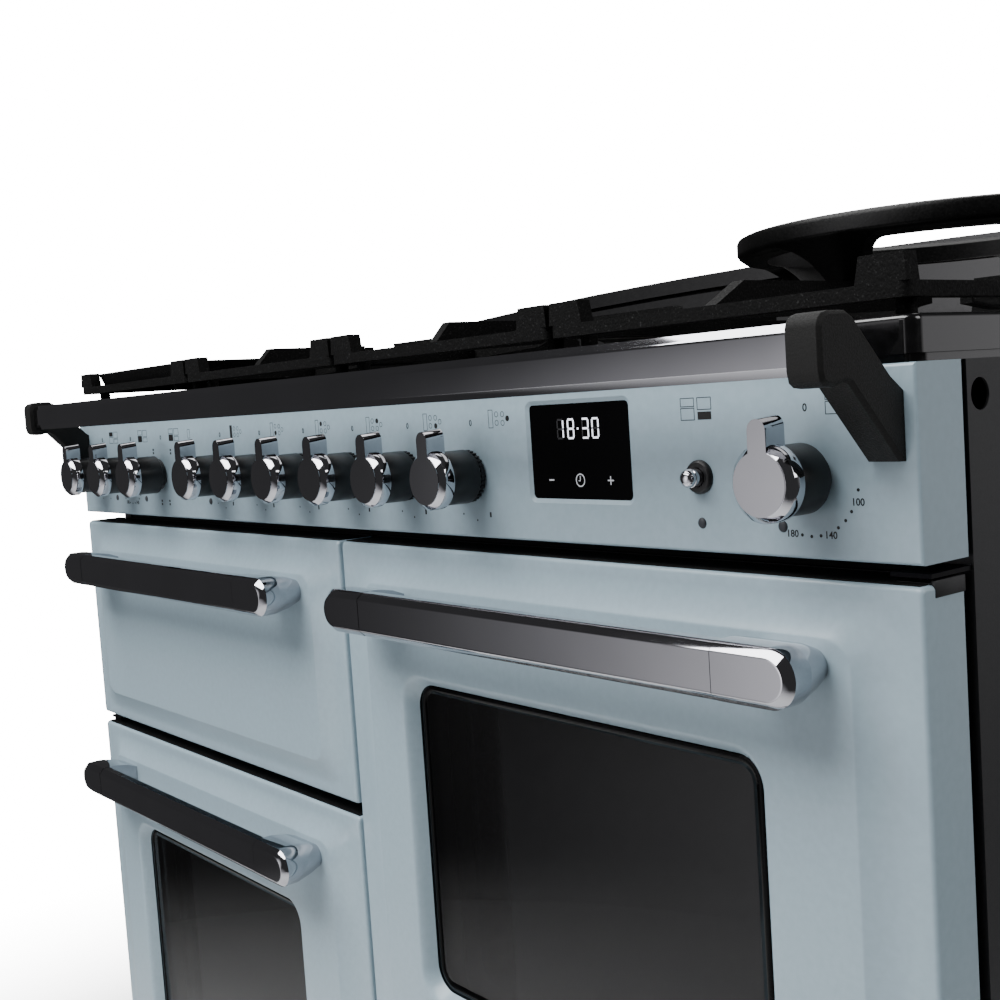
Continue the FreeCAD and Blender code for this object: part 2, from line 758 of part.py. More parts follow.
def fascia():
    """The control fascia: a folded box open behind, with holes for spindles, display, button and lamps."""
    body = block(-half_width, half_width, front_y, front_y + fascia_depth, fascia_z, fascia_top_z)
    front_edges = [e for e in body.Edges if all(abs(v.Y - front_y) < overrun / 100 for v in e.Vertexes)]
    body = body.makeFillet(fascia_edge_radius, front_edges)
    hollow = block(-half_width + sheet, half_width - sheet, front_y + sheet, front_y + fascia_depth + overrun,
                   fascia_z + sheet, fascia_top_z - sheet)
    shell = body.cut(hollow)
    lugs = []
    for x0 in (-half_width + panel_flange, half_width - panel_flange - fascia_lug_width):
        for z in (fascia_z, fascia_top_z - sheet):
            lugs.append(block(x0, x0 + fascia_lug_width, front_y + fascia_depth - overrun, frame_y,
                              z, z + sheet))
    y0 = front_y - overrun
    y1 = front_y + sheet + overrun
    spindle_hole = spindle_radius + spindle_play
    cutters = [rod_y(x, y0, y1, fascia_z + knob_height, spindle_hole) for x in knob_places.values()]
    wires = []
    for grow, y in ((display_bevel, front_y), (0, front_y + display_inset)):
        wires.append(upright_wire(display_x0 - grow, display_x1 + grow, fascia_z + display_z0 - grow,
                                  fascia_z + display_z1 + grow, display_bevel + grow, y))
    cutters.append(Part.makeLoft(wires, True, True))
    cutters.append(upright_plate(display_x0, display_x1, fascia_z + display_z0, fascia_z + display_z1,
                                 display_bevel, front_y, y1))
    cutters.append(rod_y(button_x, y0, y1, fascia_z + knob_height, button_bezel_radius - button_bezel_step))
    cutters += [rod_y(x, y0, y1, fascia_z + lamp_height, lamp_radius) for x in lamp_places]
    return fused([shell] + lugs).cut(cutters)


def clock_display():
    """The clock: a glass front in its bevelled recess, and the housing behind it."""
    y0 = front_y + display_inset
    glass = upright_plate(display_x0, display_x1, fascia_z + display_z0, fascia_z + display_z1,
                          display_bevel, y0, y0 + glass_thickness)
    margin = display_bevel * 2
    housing = block(display_x0 - margin, display_x1 + margin, front_y + sheet, front_y + display_depth,
                    fascia_z + display_z0 - margin, fascia_z + display_z1 + margin)
    socket = upright_plate(display_x0, display_x1, fascia_z + display_z0, fascia_z + display_z1,
                           display_bevel, front_y, y0 + glass_thickness)
    return group([glass, housing.cut(socket)])


def lamps_and_bezel():
    """The push button's bezel and two pilot lamps, each pushed into its hole."""
    z = fascia_z + knob_height
    inner = button_radius + running_gap
    hole = button_bezel_radius - button_bezel_step
    bore = button_stem_radius + pin_clearance
    outer = button_bezel_radius
    height = button_bezel_height
    bezel = turned([(inner, -height), (outer - button_bezel_step / 2, -height), (outer, -height / 2),
                    (outer, 0), (hole, 0), (hole, display_depth), (bore, display_depth),
                    (bore, display_depth - sheet), (inner, display_depth - sheet)],
                   V(button_x, front_y, z), AXIS_Y, AXIS_X)
    pieces = [bezel]
    for x in lamp_places:
        pieces.append(turned([(0, -lamp_reach), (lamp_radius * 0.6, -lamp_reach), (lamp_radius, 0),
                              (lamp_radius, display_depth), (0, display_depth)],
                             V(x, front_y, fascia_z + lamp_height), AXIS_Y, AXIS_X))
    return group(pieces)


def push_button():
    """The ignition and light button with its stem, which slides in the bezel."""
    z = fascia_z + knob_height
    dome = button_radius * 0.7
    back = -button_bezel_height + button_travel * 2
    return turned([(0, -button_reach), (dome, -button_reach + button_radius * 0.15),
                   (button_radius, -button_reach + button_radius * 0.6), (button_radius, back),
                   (button_stem_radius, back), (button_stem_radius, display_depth + button_travel),
                   (0, display_depth + button_travel)], V(button_x, front_y, z), AXIS_Y, AXIS_X)


def knob(x):
    """A knob: chrome face with a lever, a dark skirt behind it, and the spindle that it turns."""
    centre = V(x, front_y, fascia_z + knob_height)
    forward = AXIS_Y * -1
    base = knob_base_depth
    shoulder = knob_chamfer / 3
    waist = knob_ring_front + knob_ring_radius - knob_face_radius + knob_chamfer
    ring = turned([(0, knob_ring_back), (knob_ring_radius, knob_ring_back), (knob_ring_radius, knob_ring_front),
                   (knob_face_radius, waist), (knob_face_radius, knob_face_y - shoulder),
                   (knob_face_radius - shoulder, knob_face_y), (0, knob_face_y)], centre, forward, AXIS_X)
    half = lever_width / 2
    crown = lever_top - half
    outline = []
    for inset, depth in ((0, knob_ring_back), (0, knob_face_y - shoulder), (shoulder, knob_face_y)):
        y = -depth
        r = half - inset
        top = Part.Arc(V(-r, y, crown), V(0, y, crown + r), V(r, y, crown)).toShape()
        foot = Part.LineSegment(V(r, y, 0), V(-r, y, 0)).toShape()
        left = Part.LineSegment(V(-r, y, 0), V(-r, y, crown)).toShape()
        right = Part.LineSegment(V(r, y, crown), V(r, y, 0)).toShape()
        outline.append(Part.Wire([top, right, foot, left]))
    lever = Part.makeLoft(outline, True, True).translated(centre)
    boss = rod_y(x, front_y - knob_ring_back, front_y - base, centre.z, knob_boss_radius)
    spindle = rod_y(x, front_y - base, front_y + spindle_length, centre.z, spindle_radius)
    cap = fused([ring, lever, boss, spindle])
    inner = knob_boss_radius
    outer = knob_base_radius
    wall = knob_base_radius - knob_skirt_wall
    skirt = turned([(inner, base), (wall, base), (wall, skirt_gap), (outer, skirt_gap), (outer, base),
                    (knob_skirt_radius, base + shoulder), (knob_skirt_radius, knob_ring_back),
                    (inner, knob_ring_back)], centre, forward, AXIS_X)
    return group([cap, skirt])


def handrail_bar():
    """The bar along the front, flat-faced with bevelled edges."""
    y0 = front_y - rail_front
    y1 = y0 + rail_depth
    z0 = fascia_z + rail_z0
    z1 = fascia_z + rail_z1
    e = rail_edge
    points = [(y0, z0 + e), (y0, z1 - e), (y0 + e * 0.4, z1 - e * 0.3), (y0 + e * 1.4, z1), (y1 - e, z1),
              (y1, z1 - e), (y1, z0 + e), (y1 - e, z0), (y0 + e * 1.4, z0), (y0 + e * 0.4, z0 + e * 0.3)]
    return profile_x(points, -rail_half_length, rail_half_length)


def bracket_outline():
    """The side view of a handrail bracket as (y, z) points, from shares of its reach and its height."""
    reach = rail_reach
    height = bracket_height
    z0 = fascia_z + rail_z1 + bracket_above - height
    shares = [(0.0, 0.0), (0.0, 0.47), (0.05, 0.50), (0.57, 0.96), (0.66, 1.0), (0.86, 1.0), (0.93, 0.985),
              (0.98, 0.95), (1.0, 0.9), (1.0, 0.63), (0.98, 0.56), (0.93, 0.53), (0.84, 0.52), (0.70, 0.55),
              (0.64, 0.53), (0.05, 0.0)]
    return [(front_y - reach * out, z0 + height * up) for out, up in shares]


def handrail_brackets():
    """The two cast brackets that carry the bar, with bevelled outer edges."""
    outline = bracket_outline()
    right = profile_x(outline, rail_half_length, rail_half_length + bracket_thickness)
    outer_x = rail_half_length + bracket_thickness
    edges = [e for e in right.Edges
             if all(abs(v.X - outer_x) < overrun / 100 and v.Y < front_y - overrun / 100 for v in e.Vertexes)]
    right = right.makeChamfer(bracket_chamfer, edges)
    return group([right, mirrored(right)])


def hob_tray():
    """The enamelled hob tray: a deep lip around a shallow well, hollow below, with a hole for each burner."""
    outer = flat_plate(-half_width, half_width, front_y, back_y, tray_corner_radius, tray_z, hob_height)
    rim = [e for e in outer.Edges if all(abs(v.Z - hob_height) < overrun / 100 for v in e.Vertexes)]
    outer = outer.makeFillet(tray_lip_radius, rim)
    lip = tray_lip
    well_back = back_y - flue_depth - lip
    well = flat_plate(-half_width + lip, half_width - lip, front_y + lip, well_back, tray_corner_radius,
                      hob_height - tray_well_depth, hob_height + overrun)
    roof_z = hob_height - tray_well_depth - sheet
    under = flat_plate(-half_width + sheet, half_width - sheet, front_y + sheet, back_y - sheet,
                       tray_corner_radius, tray_z - overrun, roof_z)
    foot = tray_seat
    seat_outer = flat_plate(-half_width + foot, half_width - foot, front_y + foot * 2, back_y - foot,
                            tray_corner_radius, fascia_top_z, roof_z)
    seat_inner = flat_plate(-half_width + foot + sheet, half_width - foot - sheet, front_y + foot * 2 + sheet,
                            back_y - foot - sheet, tray_corner_radius, fascia_top_z - overrun, hob_height)
    holes = []
    for name, (x, y) in burner_places().items():
        reach = burner_radii[name] - burner_flange
        if name == "griddle":
            half = griddle_burner_length / 2 - burner_flange
            holes.append(flat_plate(x - reach, x + reach, y - half, y + half, reach * round_end_share,
                                    tray_z, hob_height + overrun))
        else:
            holes.append(rod_z(x, y, tray_z, hob_height + overrun, reach))
    return outer.cut([well, under]).fuse(seat_outer.cut(seat_inner)).cut(holes)


def module_middle(number):
    """The x of the middle of a hob module, from 0 at the left to 3 at the right."""
    return (number - 1.5) * (module_width + module_gap)


def burner_places():
    """The plan place of each burner."""
    front = front_y + front_burner_y
    rear = front_y + rear_burner_y
    single = front_y + single_burner_y
    return {
        "griddle": (module_middle(0), single),
        "front_left": (module_middle(1), front),
        "rear_left": (module_middle(1), rear),
        "rear_right": (module_middle(2), rear),
        "front_right": (module_middle(2), front),
        "wok": (module_middle(3), single),
    }


def burner_bodies():
    """Each burner's cup under the tray and its slotted crown above it."""
    pieces = []
    well_z = hob_height - tray_well_depth
    for name, (x, y) in burner_places().items():
        radius = burner_radii[name]
        cup = radius - burner_flange - running_gap
        if name == "griddle":
            half = griddle_burner_length / 2
            flange = flat_plate(x - radius, x + radius, y - half, y + half, radius * round_end_share,
                                well_z, well_z + crown_height)
            low = half - burner_flange - running_gap
            bowl = flat_plate(x - cup, x + cup, y - low, y + low, cup * round_end_share,
                              well_z - cup_depth, well_z)
            pieces.append(fused([flange, bowl]))
            continue
        crown = turned([(0, -cup_depth), (cup * 0.7, -cup_depth), (cup, -cup_depth * 0.5), (cup, 0),
                        (radius, 0), (radius, crown_height * 0.35), (cup, crown_height * 0.45),
                        (cup, crown_height), (0, crown_height)], V(x, y, well_z), AXIS_Z, AXIS_X)
        slots = []
        for k in range(port_count):
            slot = block(cup * 0.8, radius + overrun, -port_width / 2, port_width / 2,
                         crown_height * 0.55, crown_height + overrun)
            slot.rotate(V(0, 0, 0), AXIS_Z, k * 360 / port_count)
            slots.append(slot.translated(V(x, y, well_z)))
        pieces.append(crown.cut(slots))
    return group(pieces)


def burner_caps():
    """The black enamelled cap on each burner."""
    pieces = []
    base_z = hob_height - tray_well_depth + crown_height
    for name, (x, y) in burner_places().items():
        radius = burner_radii[name] - burner_flange / 2
        if name == "griddle":
            half = griddle_burner_length / 2 - burner_flange / 2
            pieces.append(flat_plate(x - radius, x + radius, y - half, y + half, radius * round_end_share,
                                     base_z, base_z + cap_thickness))
            continue
        pieces.append(turned([(0, 0), (radius, 0), (radius, cap_thickness * 0.5), (radius * 0.9, cap_thickness),
                              (0, cap_thickness)], V(x, y, base_z), AXIS_Z, AXIS_X))
    return group(pieces)


def support_frame(middle):
    """The cast frame of one hob module with its corner lugs and feet."""
    x0 = middle - module_width / 2
    x1 = middle + module_width / 2
    y0 = front_y + support_front
    y1 = y0 + support_depth
    z0 = hob_height + support_z0
    z1 = z0 + support_bar_height
    w = support_bar_width
    outer = flat_plate(x0, x1, y0, y1, w / 2, z0, z1)
    inner = flat_plate(x0 + w, x1 - w, y0 + w, y1 - w, w / 2, z0 - overrun, z1 + overrun)
    pieces = [outer.cut(inner)]
    top = hob_height + support_top
    lean = lug_depth / 6
    for sx in (-1, 1):
        corner_x = x0 if sx < 0 else x1
        for sy in (-1, 1):
            corner_y = y0 if sy < 0 else y1
            lug_points = [(corner_x, z1), (corner_x - sx * lean / 2, top),
                          (corner_x - sx * (lug_length - lean), top), (corner_x - sx * lug_length, z1)]
            ya, yb = sorted((corner_y, corner_y - sy * w))
            pieces.append(profile_y(lug_points, ya, yb))
            foot_x = corner_x - sx * foot_inset_x
            foot_y = corner_y - sy * foot_inset_y
            xa, xb = sorted((corner_x, foot_x))
            pieces.append(block(xa, xb, foot_y - w / 2, foot_y + w / 2, z0, z1))
            well_z = hob_height - tray_well_depth + running_gap
            pieces.append(rod_z(foot_x, foot_y, well_z, z1, w / 2))
    return pieces


def finger(x, y, angle, inner, outer):
    """One cast finger towards a burner: a plate whose top rises from the frame to the pan level."""
    z0 = hob_height + support_z0
    z1 = z0 + support_bar_height
    top = hob_height + support_top
    rise = (outer - inner) * 0.12
    points = [(inner, top), (inner, z1), (inner + rise, z0 + support_bar_height / 2), (outer, z0), (outer, z1),
              (outer - rise, top)]
    outline = Part.makePolygon([V(r, -finger_width / 2, z) for r, z in points + points[:1]])
    plate = Part.Face(outline).extrude(V(0, finger_width, 0))
    plate.rotate(V(0, 0, 0), AXIS_Z, angle)
    return plate.translated(V(x, y, 0))


def pan_support(number, burners):
    """One module's cast-iron pan support with four fingers around each burner."""
    middle = module_middle(number)
    pieces = support_frame(middle)
    places = burner_places()
    half = module_width / 2 - support_bar_width / 2
    y0 = front_y + support_front + support_bar_width / 2
    y1 = y0 + support_depth - support_bar_width
    if len(burners) > 1:
        cross_y = front_y + (front_burner_y + rear_burner_y) / 2
        pieces.append(block(middle - half, middle + half, cross_y - support_bar_width / 2,
                            cross_y + support_bar_width / 2, hob_height + support_z0,
                            hob_height + support_z0 + support_bar_height))
    for name in burners:
        x, y = places[name]
        inner = finger_inner
        stops = [y0, y1]
        if len(burners) > 1:
            stops = [y0, cross_y] if y < cross_y else [cross_y, y1]
        for angle, outer in ((0, half), (90, stops[1] - y), (180, half), (270, y - stops[0])):
            pieces.append(finger(x, y, angle, inner, outer))
    return fused(pieces)


def griddle_support():
    """The left module's frame, with two bars across it that carry the griddle plate."""
    middle = module_middle(0)
    pieces = support_frame(middle)
    z0 = hob_height + support_z0
    z1 = z0 + support_bar_height
    half = module_width / 2 - support_bar_width / 2
    for share in griddle_bar_shares:
        y = front_y + support_front + support_depth * share
        y0 = y - support_bar_width / 2
        pieces.append(block(middle - half, middle + half, y0, y0 + support_bar_width, z0, z1))
    return fused(pieces)


def griddle_plate():
    """The cast griddle: a flat cooking plate with a flared rim, hollow above, on the left support."""
    middle = module_middle(0)
    z0 = hob_height + support_z0 + support_bar_height + running_gap
    z1 = hob_height + support_top - 2 * running_gap
    x0 = middle - module_width / 2 + support_bar_width + griddle_flare
    x1 = middle + module_width / 2 - support_bar_width - griddle_flare
    y0 = front_y + support_front + support_bar_width + griddle_flare
    y1 = y0 + support_depth - 2 * (support_bar_width + griddle_flare)
    radius = griddle_flare * 2
    lower = flat_wire(x0, x1, y0, y1, radius, z0)
    upper = flat_wire(x0 - griddle_flare, x1 + griddle_flare, y0 - griddle_flare, y1 + griddle_flare,
                      radius + griddle_flare, z1)
    outer = Part.makeLoft([lower, upper], True, True)
    floor_z = z0 + griddle_thickness * 0.6
    wall = griddle_wall
    inner_low = flat_wire(x0 + wall, x1 - wall, y0 + wall, y1 - wall, radius, floor_z)
    inner_high = flat_wire(x0 + wall - griddle_flare, x1 - wall + griddle_flare, y0 + wall - griddle_flare,
                           y1 - wall + griddle_flare, radius + griddle_flare, z1 + overrun / 10)
    return outer.cut(Part.makeLoft([inner_low, inner_high], True, True))


def wok_cradle():
    """The cast wok ring: a dished rim on four legs with an arch between each two."""
    x, y = burner_places()["wok"]
    z0 = hob_height + support_top + running_gap
    height = hob_height + cradle_top - z0
    rim_low = height - cradle_rim_height
    wall = cradle_wall
    foot = cradle_foot_radius
    outer = cradle_radius
    profile = [(foot - wall, 0), (foot, 0), (outer, rim_low), (outer, height - cradle_rim_height * 0.3),
               (outer - cradle_rim * 0.2, height), (outer - cradle_rim, height - cradle_rim_height * 0.4),
               (outer - cradle_rim, rim_low - cradle_rim_height * 0.4)]
    ring = turned(profile, V(x, y, z0), AXIS_Z, AXIS_X)
    arch_top = rim_low - cradle_rim_height * 0.3
    half_angle = math.pi / cradle_count * cradle_arch_share
    reach = outer + overrun
    near = foot * 0.5
    arches = []
    for k in range(cradle_count):
        spread = math.tan(half_angle)
        low = -overrun
        soft = arch_top * cradle_soft_share
        arch = []
        for distance in (near, reach):
            w = distance * spread
            points = [(-w, low), (-w, arch_top - soft), (-w + soft, arch_top), (w - soft, arch_top),
                      (w, arch_top - soft), (w, low)]
            arch.append(Part.makePolygon([V(distance, a, b) for a, b in points + points[:1]]))
        cutter = Part.makeLoft(arch, True, True)
        cutter.rotate(V(0, 0, 0), AXIS_Z, 45 + k * 360 / cradle_count)
        arches.append(cutter.translated(V(x, y, z0)))
    return ring.cut(arches)


def flue_trim():
    """The raised trim at the back: a hollow flue with an arched top, a cap and a slot for the oven air."""
    y0 = back_y - flue_depth
    z0 = hob_height

    def arch(inset, drop, y):
        x = half_width - inset
        low = V(-x, y, z0)
        left = V(-x, y, z0 + flue_end_height - drop)
        top = V(0, y, z0 + flue_middle_height - drop)
        right = V(x, y, z0 + flue_end_height - drop)
        last = V(x, y, z0)
        edges = [Part.LineSegment(low, left).toShape(), Part.Arc(left, top, right).toShape(),
                 Part.LineSegment(right, last).toShape(), Part.LineSegment(last, low).toShape()]
        return Part.Face(Part.Wire(edges))

    outer = arch(0, 0, y0).extrude(V(0, flue_depth, 0))
    inner = arch(flue_wall, flue_cap, y0 + flue_wall).extrude(V(0, flue_depth - 2 * flue_wall, 0))
    upper = arch(panel_flange, flue_slot_drop - flue_slot, y0 - overrun)
    upper = upper.extrude(V(0, overrun + 2 * flue_wall, 0))
    lower = arch(0, flue_slot_drop, y0 - 2 * overrun).extrude(V(0, flue_depth, 0))
    slot = upper.cut(lower)
    return outer.cut([inner, slot])


def cavity(bay, levels):
    """An oven's steel liner, open at the front, with a shelf rail on each side at each level."""
    x0, x1 = bay.mouth_x0, bay.mouth_x1
    z0, z1 = bay.mouth_z0, bay.mouth_z1
    y0 = frame_back_y
    y1 = y0 + cavity_depth
    t = liner_sheet
    outer = upright_plate(x0 - t, x1 + t, z0 - t, z1 + t, mouth_radius + t, y0, y1)
    inner = upright_plate(x0, x1, z0, z1, mouth_radius, y0 - overrun, y1 - t)
    pieces = [outer.cut(inner)]
    for share in levels:
        z = z0 + (z1 - z0) * share
        for side, x in ((1, x0), (-1, x1)):
            far = x + side * rail_rib
            rib = [(x, z), (far, z - rail_rib_height / 3), (far, z - rail_rib_height),
                   (x, z - rail_rib_height * 1.5)]
            pieces.append(profile_y(rib, y0 + shelf_front, y0 + shelf_front + shelf_depth))
    return fused(pieces)


def oven_cavity(bay):
    """An oven liner with the hole for its fan's shaft in the back wall."""
    x, z = bay_centre(bay)
    y1 = frame_back_y + cavity_depth
    hole = rod_y(x, y1 - liner_sheet - overrun, y1 + overrun, z, fan_shaft_radius + running_gap * 2)
    return cavity(bay, oven_level_shares).cut(hole)


def bay_centre(bay):
    """The middle of a bay's mouth."""
    return (bay.mouth_x0 + bay.mouth_x1) / 2, (bay.mouth_z0 + bay.mouth_z1) / 2


def hexagon(centre, along, across, radius):
    """A six-sided wire's outline around a centre, in the plane of two directions."""
    points = []
    for k in range(6):
        turn = k * math.pi / 3
        points.append(centre + along * (radius * math.cos(turn)) + across * (radius * math.sin(turn)))
    return Part.makePolygon(points + points[:1])


def wire_x(x0, x1, y, z, radius):
    """A six-sided wire along x."""
    return Part.Face(hexagon(V(x0, y, z), AXIS_Y, AXIS_Z, radius)).extrude(V(x1 - x0, 0, 0))


def wire_y(x, y0, y1, z, radius):
    """A six-sided wire along y."""
    return Part.Face(hexagon(V(x, y0, z), AXIS_X, AXIS_Z, radius)).extrude(V(0, y1 - y0, 0))


def wire_shelf(bay, share):
    """One wire shelf on its rails: two cross wires, and wires from front to back."""
    r = shelf_wire_radius
    x0 = bay.mouth_x0 + shelf_gap + r
    x1 = bay.mouth_x1 - shelf_gap - r
    y0 = frame_back_y + shelf_front + r
    y1 = y0 + shelf_depth - 2 * r
    z = bay.mouth_z0 + (bay.mouth_z1 - bay.mouth_z0) * share + r
    wires = [wire_x(x0 - r, x1 + r, y0, z, r), wire_x(x0 - r, x1 + r, y1, z, r)]
    for k in range(shelf_wires):
        x = x0 + (x1 - x0) * k / (shelf_wires - 1)
        wires.append(wire_y(x, y0, y1, z, r if k in (0, shelf_wires - 1) else r * 0.75))
    return wires[0].fuse(wires[1:])


def oven_shelves():
    """Two wire shelves in each oven."""
    return group([wire_shelf(bay, share) for bay in (left_bay, right_bay) for share in oven_level_shares])


def grill_pan():
    """The enamelled grill pan on the grill's rails."""
    bay = grill_bay
    z = bay.mouth_z0 + (bay.mouth_z1 - bay.mouth_z0) * grill_level_share
    y0 = frame_back_y + shelf_front
    x0 = bay.mouth_x0 + shelf_gap
    x1 = bay.mouth_x1 - shelf_gap
    y1 = y0 + shelf_depth
    height = pan_height
    bowl_x0 = x0 + rail_rib + shelf_gap
    bowl_x1 = x1 - rail_rib - shelf_gap
    outer = flat_plate(bowl_x0, bowl_x1, y0, y1, mouth_radius, z - height, z + sheet)
    inner = flat_plate(bowl_x0 + sheet, bowl_x1 - sheet, y0 + sheet, y1 - sheet, mouth_radius,
                       z - height + sheet, z + overrun)
    flange = flat_plate(x0, x1, y0, y1, mouth_radius, z, z + sheet).cut(inner)
    return fused([outer.cut(inner), flange])


def grill_element():
    """The sheathed heating element: six runs joined by bends, with both tails in the back wall."""
    bay = grill_bay
    r = element_radius
    z = bay.mouth_z1 - element_drop
    y0 = frame_back_y + shelf_front + element_bend
    y1 = frame_back_y + cavity_depth - liner_sheet
    middle = (bay.mouth_x0 + bay.mouth_x1) / 2
    runs = element_runs
    xs = [middle + (k - (runs - 1) / 2) * element_bend * 2 for k in range(runs)]
    back = y1 - element_bend * 2
    pieces = []
    for k, x in enumerate(xs):
        far = y1 if k in (0, runs - 1) else back
        pieces.append(wire_y(x, y0, far, z, r))
    for k in range(runs - 1):
        x = (xs[k] + xs[k + 1]) / 2
        way = -1 if k % 2 == 0 else 1
        centre = V(x, y0 if way < 0 else back, z)
        sections = []
        for step in range(bend_steps + 1):
            turn = math.pi * step / bend_steps
            out = V(math.cos(turn), way * math.sin(turn), 0)
            sections.append(hexagon(centre + out * element_bend, out, AXIS_Z, r))
        pieces.append(Part.makeLoft(sections, True, True))
    return fused(pieces)


def oven_fan(bay):
    """A convection fan: a backplate, a ring of bent-up blades, a hub and the shaft into the motor."""
    x, z = bay_centre(bay)
    back = frame_back_y + cavity_depth - liner_sheet - fan_wall_gap
    disc = [(0, 0), (fan_radius, 0), (fan_radius, sheet), (0, sheet)]
    plate = turned(disc, V(x, back - sheet, z), AXIS_Y, AXIS_X)
    hub = rod_y(x, back - sheet - fan_wall_gap, back, z, fan_hub_radius)
    shaft = rod_y(x, back, back + fan_wall_gap + liner_sheet + motor_length * 0.7, z, fan_shaft_radius)
    blades = []
    for k in range(fan_blades):
        inner, outer = fan_blade_shares
        blade = block(fan_radius * inner, fan_radius * outer, -sheet / 2, sheet / 2,
                      -fan_blade_depth, -sheet / 2)
        blade.rotate(V(fan_radius * (inner + outer) / 2, 0, 0), AXIS_Z, fan_blade_turn)
        blade.rotate(V(0, 0, 0), AXIS_Z, k * 360 / fan_blades)
        blade.rotate(V(0, 0, 0), AXIS_X, -90)
        blades.append(blade.translated(V(x, back, z)))
    return fused([plate, hub, shaft] + blades)


def fan_units():
    """For each oven, the pierced cover plate in front of the fan and the motor behind the wall."""
    pieces = []
    for bay in (left_bay, right_bay):
        x, z = bay_centre(bay)
        wall_y = frame_back_y + cavity_depth - liner_sheet
        y0 = wall_y - fan_cover_gap
        half = fan_cover_half
        shell = upright_plate(x - half, x + half, z - half, z + half, mouth_radius, y0, wall_y)
        reach = half - sheet
        hollow = upright_plate(x - reach, x + reach, z - reach, z + reach, mouth_radius,
                               y0 + sheet, wall_y + overrun)
        holes = []
        for k in range(fan_cover_slots):
            inner, outer = fan_cover_slot_shares
            slot = block(half * inner, half * outer, y0 - overrun, y0 + sheet + overrun,
                         -fan_cover_slot / 2, fan_cover_slot / 2)
            slot.rotate(V(0, 0, 0), AXIS_Y, k * 360 / fan_cover_slots)
            holes.append(slot.translated(V(x, 0, z)))
        pieces.append(shell.cut([hollow] + holes))
        motor_y = wall_y + liner_sheet
        bore = fan_shaft_radius + pin_clearance
        shoulder = motor_shoulder_share
        motor = turned([(bore, 0), (motor_radius, 0), (motor_radius, motor_length * shoulder),
                        (motor_radius * shoulder, motor_length), (bore, motor_length)],
                       V(x, motor_y, z), AXIS_Y, AXIS_X)
        pieces.append(motor)
    return group(pieces)


def drawer_box():
    """The storage drawer: a steel tray behind its front, with a runner bar on each side."""
    bay = drawer_bay
    x0 = bay.mouth_x0 + drawer_side_gap
    x1 = bay.mouth_x1 - drawer_side_gap
    z0 = bay.mouth_z0 + drawer_floor_gap
    z1 = z0 + drawer_wall_height
    y0 = door_back_y
    y1 = y0 + drawer_depth
    hollow = block(x0 + sheet, x1 - sheet, y0 - overrun, y1 - sheet, z0 + sheet, z1 + overrun)
    tray = block(x0, x1, y0, y1, z0, z1).cut(hollow)
    face = block(bay.x0 + sheet, bay.x1 - sheet, y0 - sheet, y0, bay.z0 + sheet, bay.z1 - sheet)
    rail_z = z0 + drawer_wall_height / 2
    rails = []
    for side, x in ((-1, x0), (1, x1)):
        a, b = sorted((x, x + side * drawer_rail_thickness))
        low = rail_z - drawer_rail_height / 2
        rails.append(block(a, b, frame_y, y1, low, low + drawer_rail_height))
    return fused([tray, face] + rails)


def drawer_runners():
    """The fixed channels behind the front frame that the drawer's bars run in."""
    bay = drawer_bay
    z = bay.mouth_z0 + drawer_floor_gap + drawer_wall_height / 2
    gap = running_gap
    pieces = []
    wall = runner_wall
    height = drawer_rail_height / 2 + gap
    for side in (-1, 1):
        box_x = bay.mouth_x0 + drawer_side_gap if side < 0 else bay.mouth_x1 - drawer_side_gap
        inner = box_x + side * gap
        bar = box_x + side * (drawer_rail_thickness + gap)
        web = box_x + side * (drawer_side_gap + wall)
        points = [(inner, z + height), (inner, z + height + wall), (web, z + height + wall),
                  (web, z - height - wall), (inner, z - height - wall), (inner, z - height),
                  (bar, z - height), (bar, z + height)]
        pieces.append(profile_y(points, frame_back_y, frame_back_y + drawer_depth))
    return group(pieces)


def gas_manifold():
    """The gas rail with a tap for each gas knob, and the feed pipe to the inlet at the back."""
    rail_y = frame_back_y + pipe_radius
    pieces = [rod_x(gas_pipe_x, -gas_pipe_x, rail_y, manifold_z, pipe_radius)]
    cutters = []
    for name in gas_knobs:
        x = knob_places[name]
        pieces.append(block(x - tap_radius, x + tap_radius, front_y + tap_front, rail_y,
                            manifold_z - tap_radius, manifold_z + tap_radius))
        cutters.append(rod_y(x, front_y, front_y + spindle_length + running_gap, manifold_z,
                             spindle_radius + pin_clearance))
    inlet_y = back_y - (back_recess - sheet) / 2
    pieces.append(rod_y(gas_pipe_x, rail_y, inlet_y, manifold_z, pipe_radius))
    socket_low = manifold_z - pipe_radius - inlet_length
    pieces.append(rod_z(gas_pipe_x, inlet_y, socket_low, manifold_z + pipe_radius, inlet_radius + inlet_wall))
    cutters.append(rod_z(gas_pipe_x, inlet_y, socket_low - overrun, socket_low + inlet_thread, inlet_radius))
    return fused(pieces).cut(cutters)


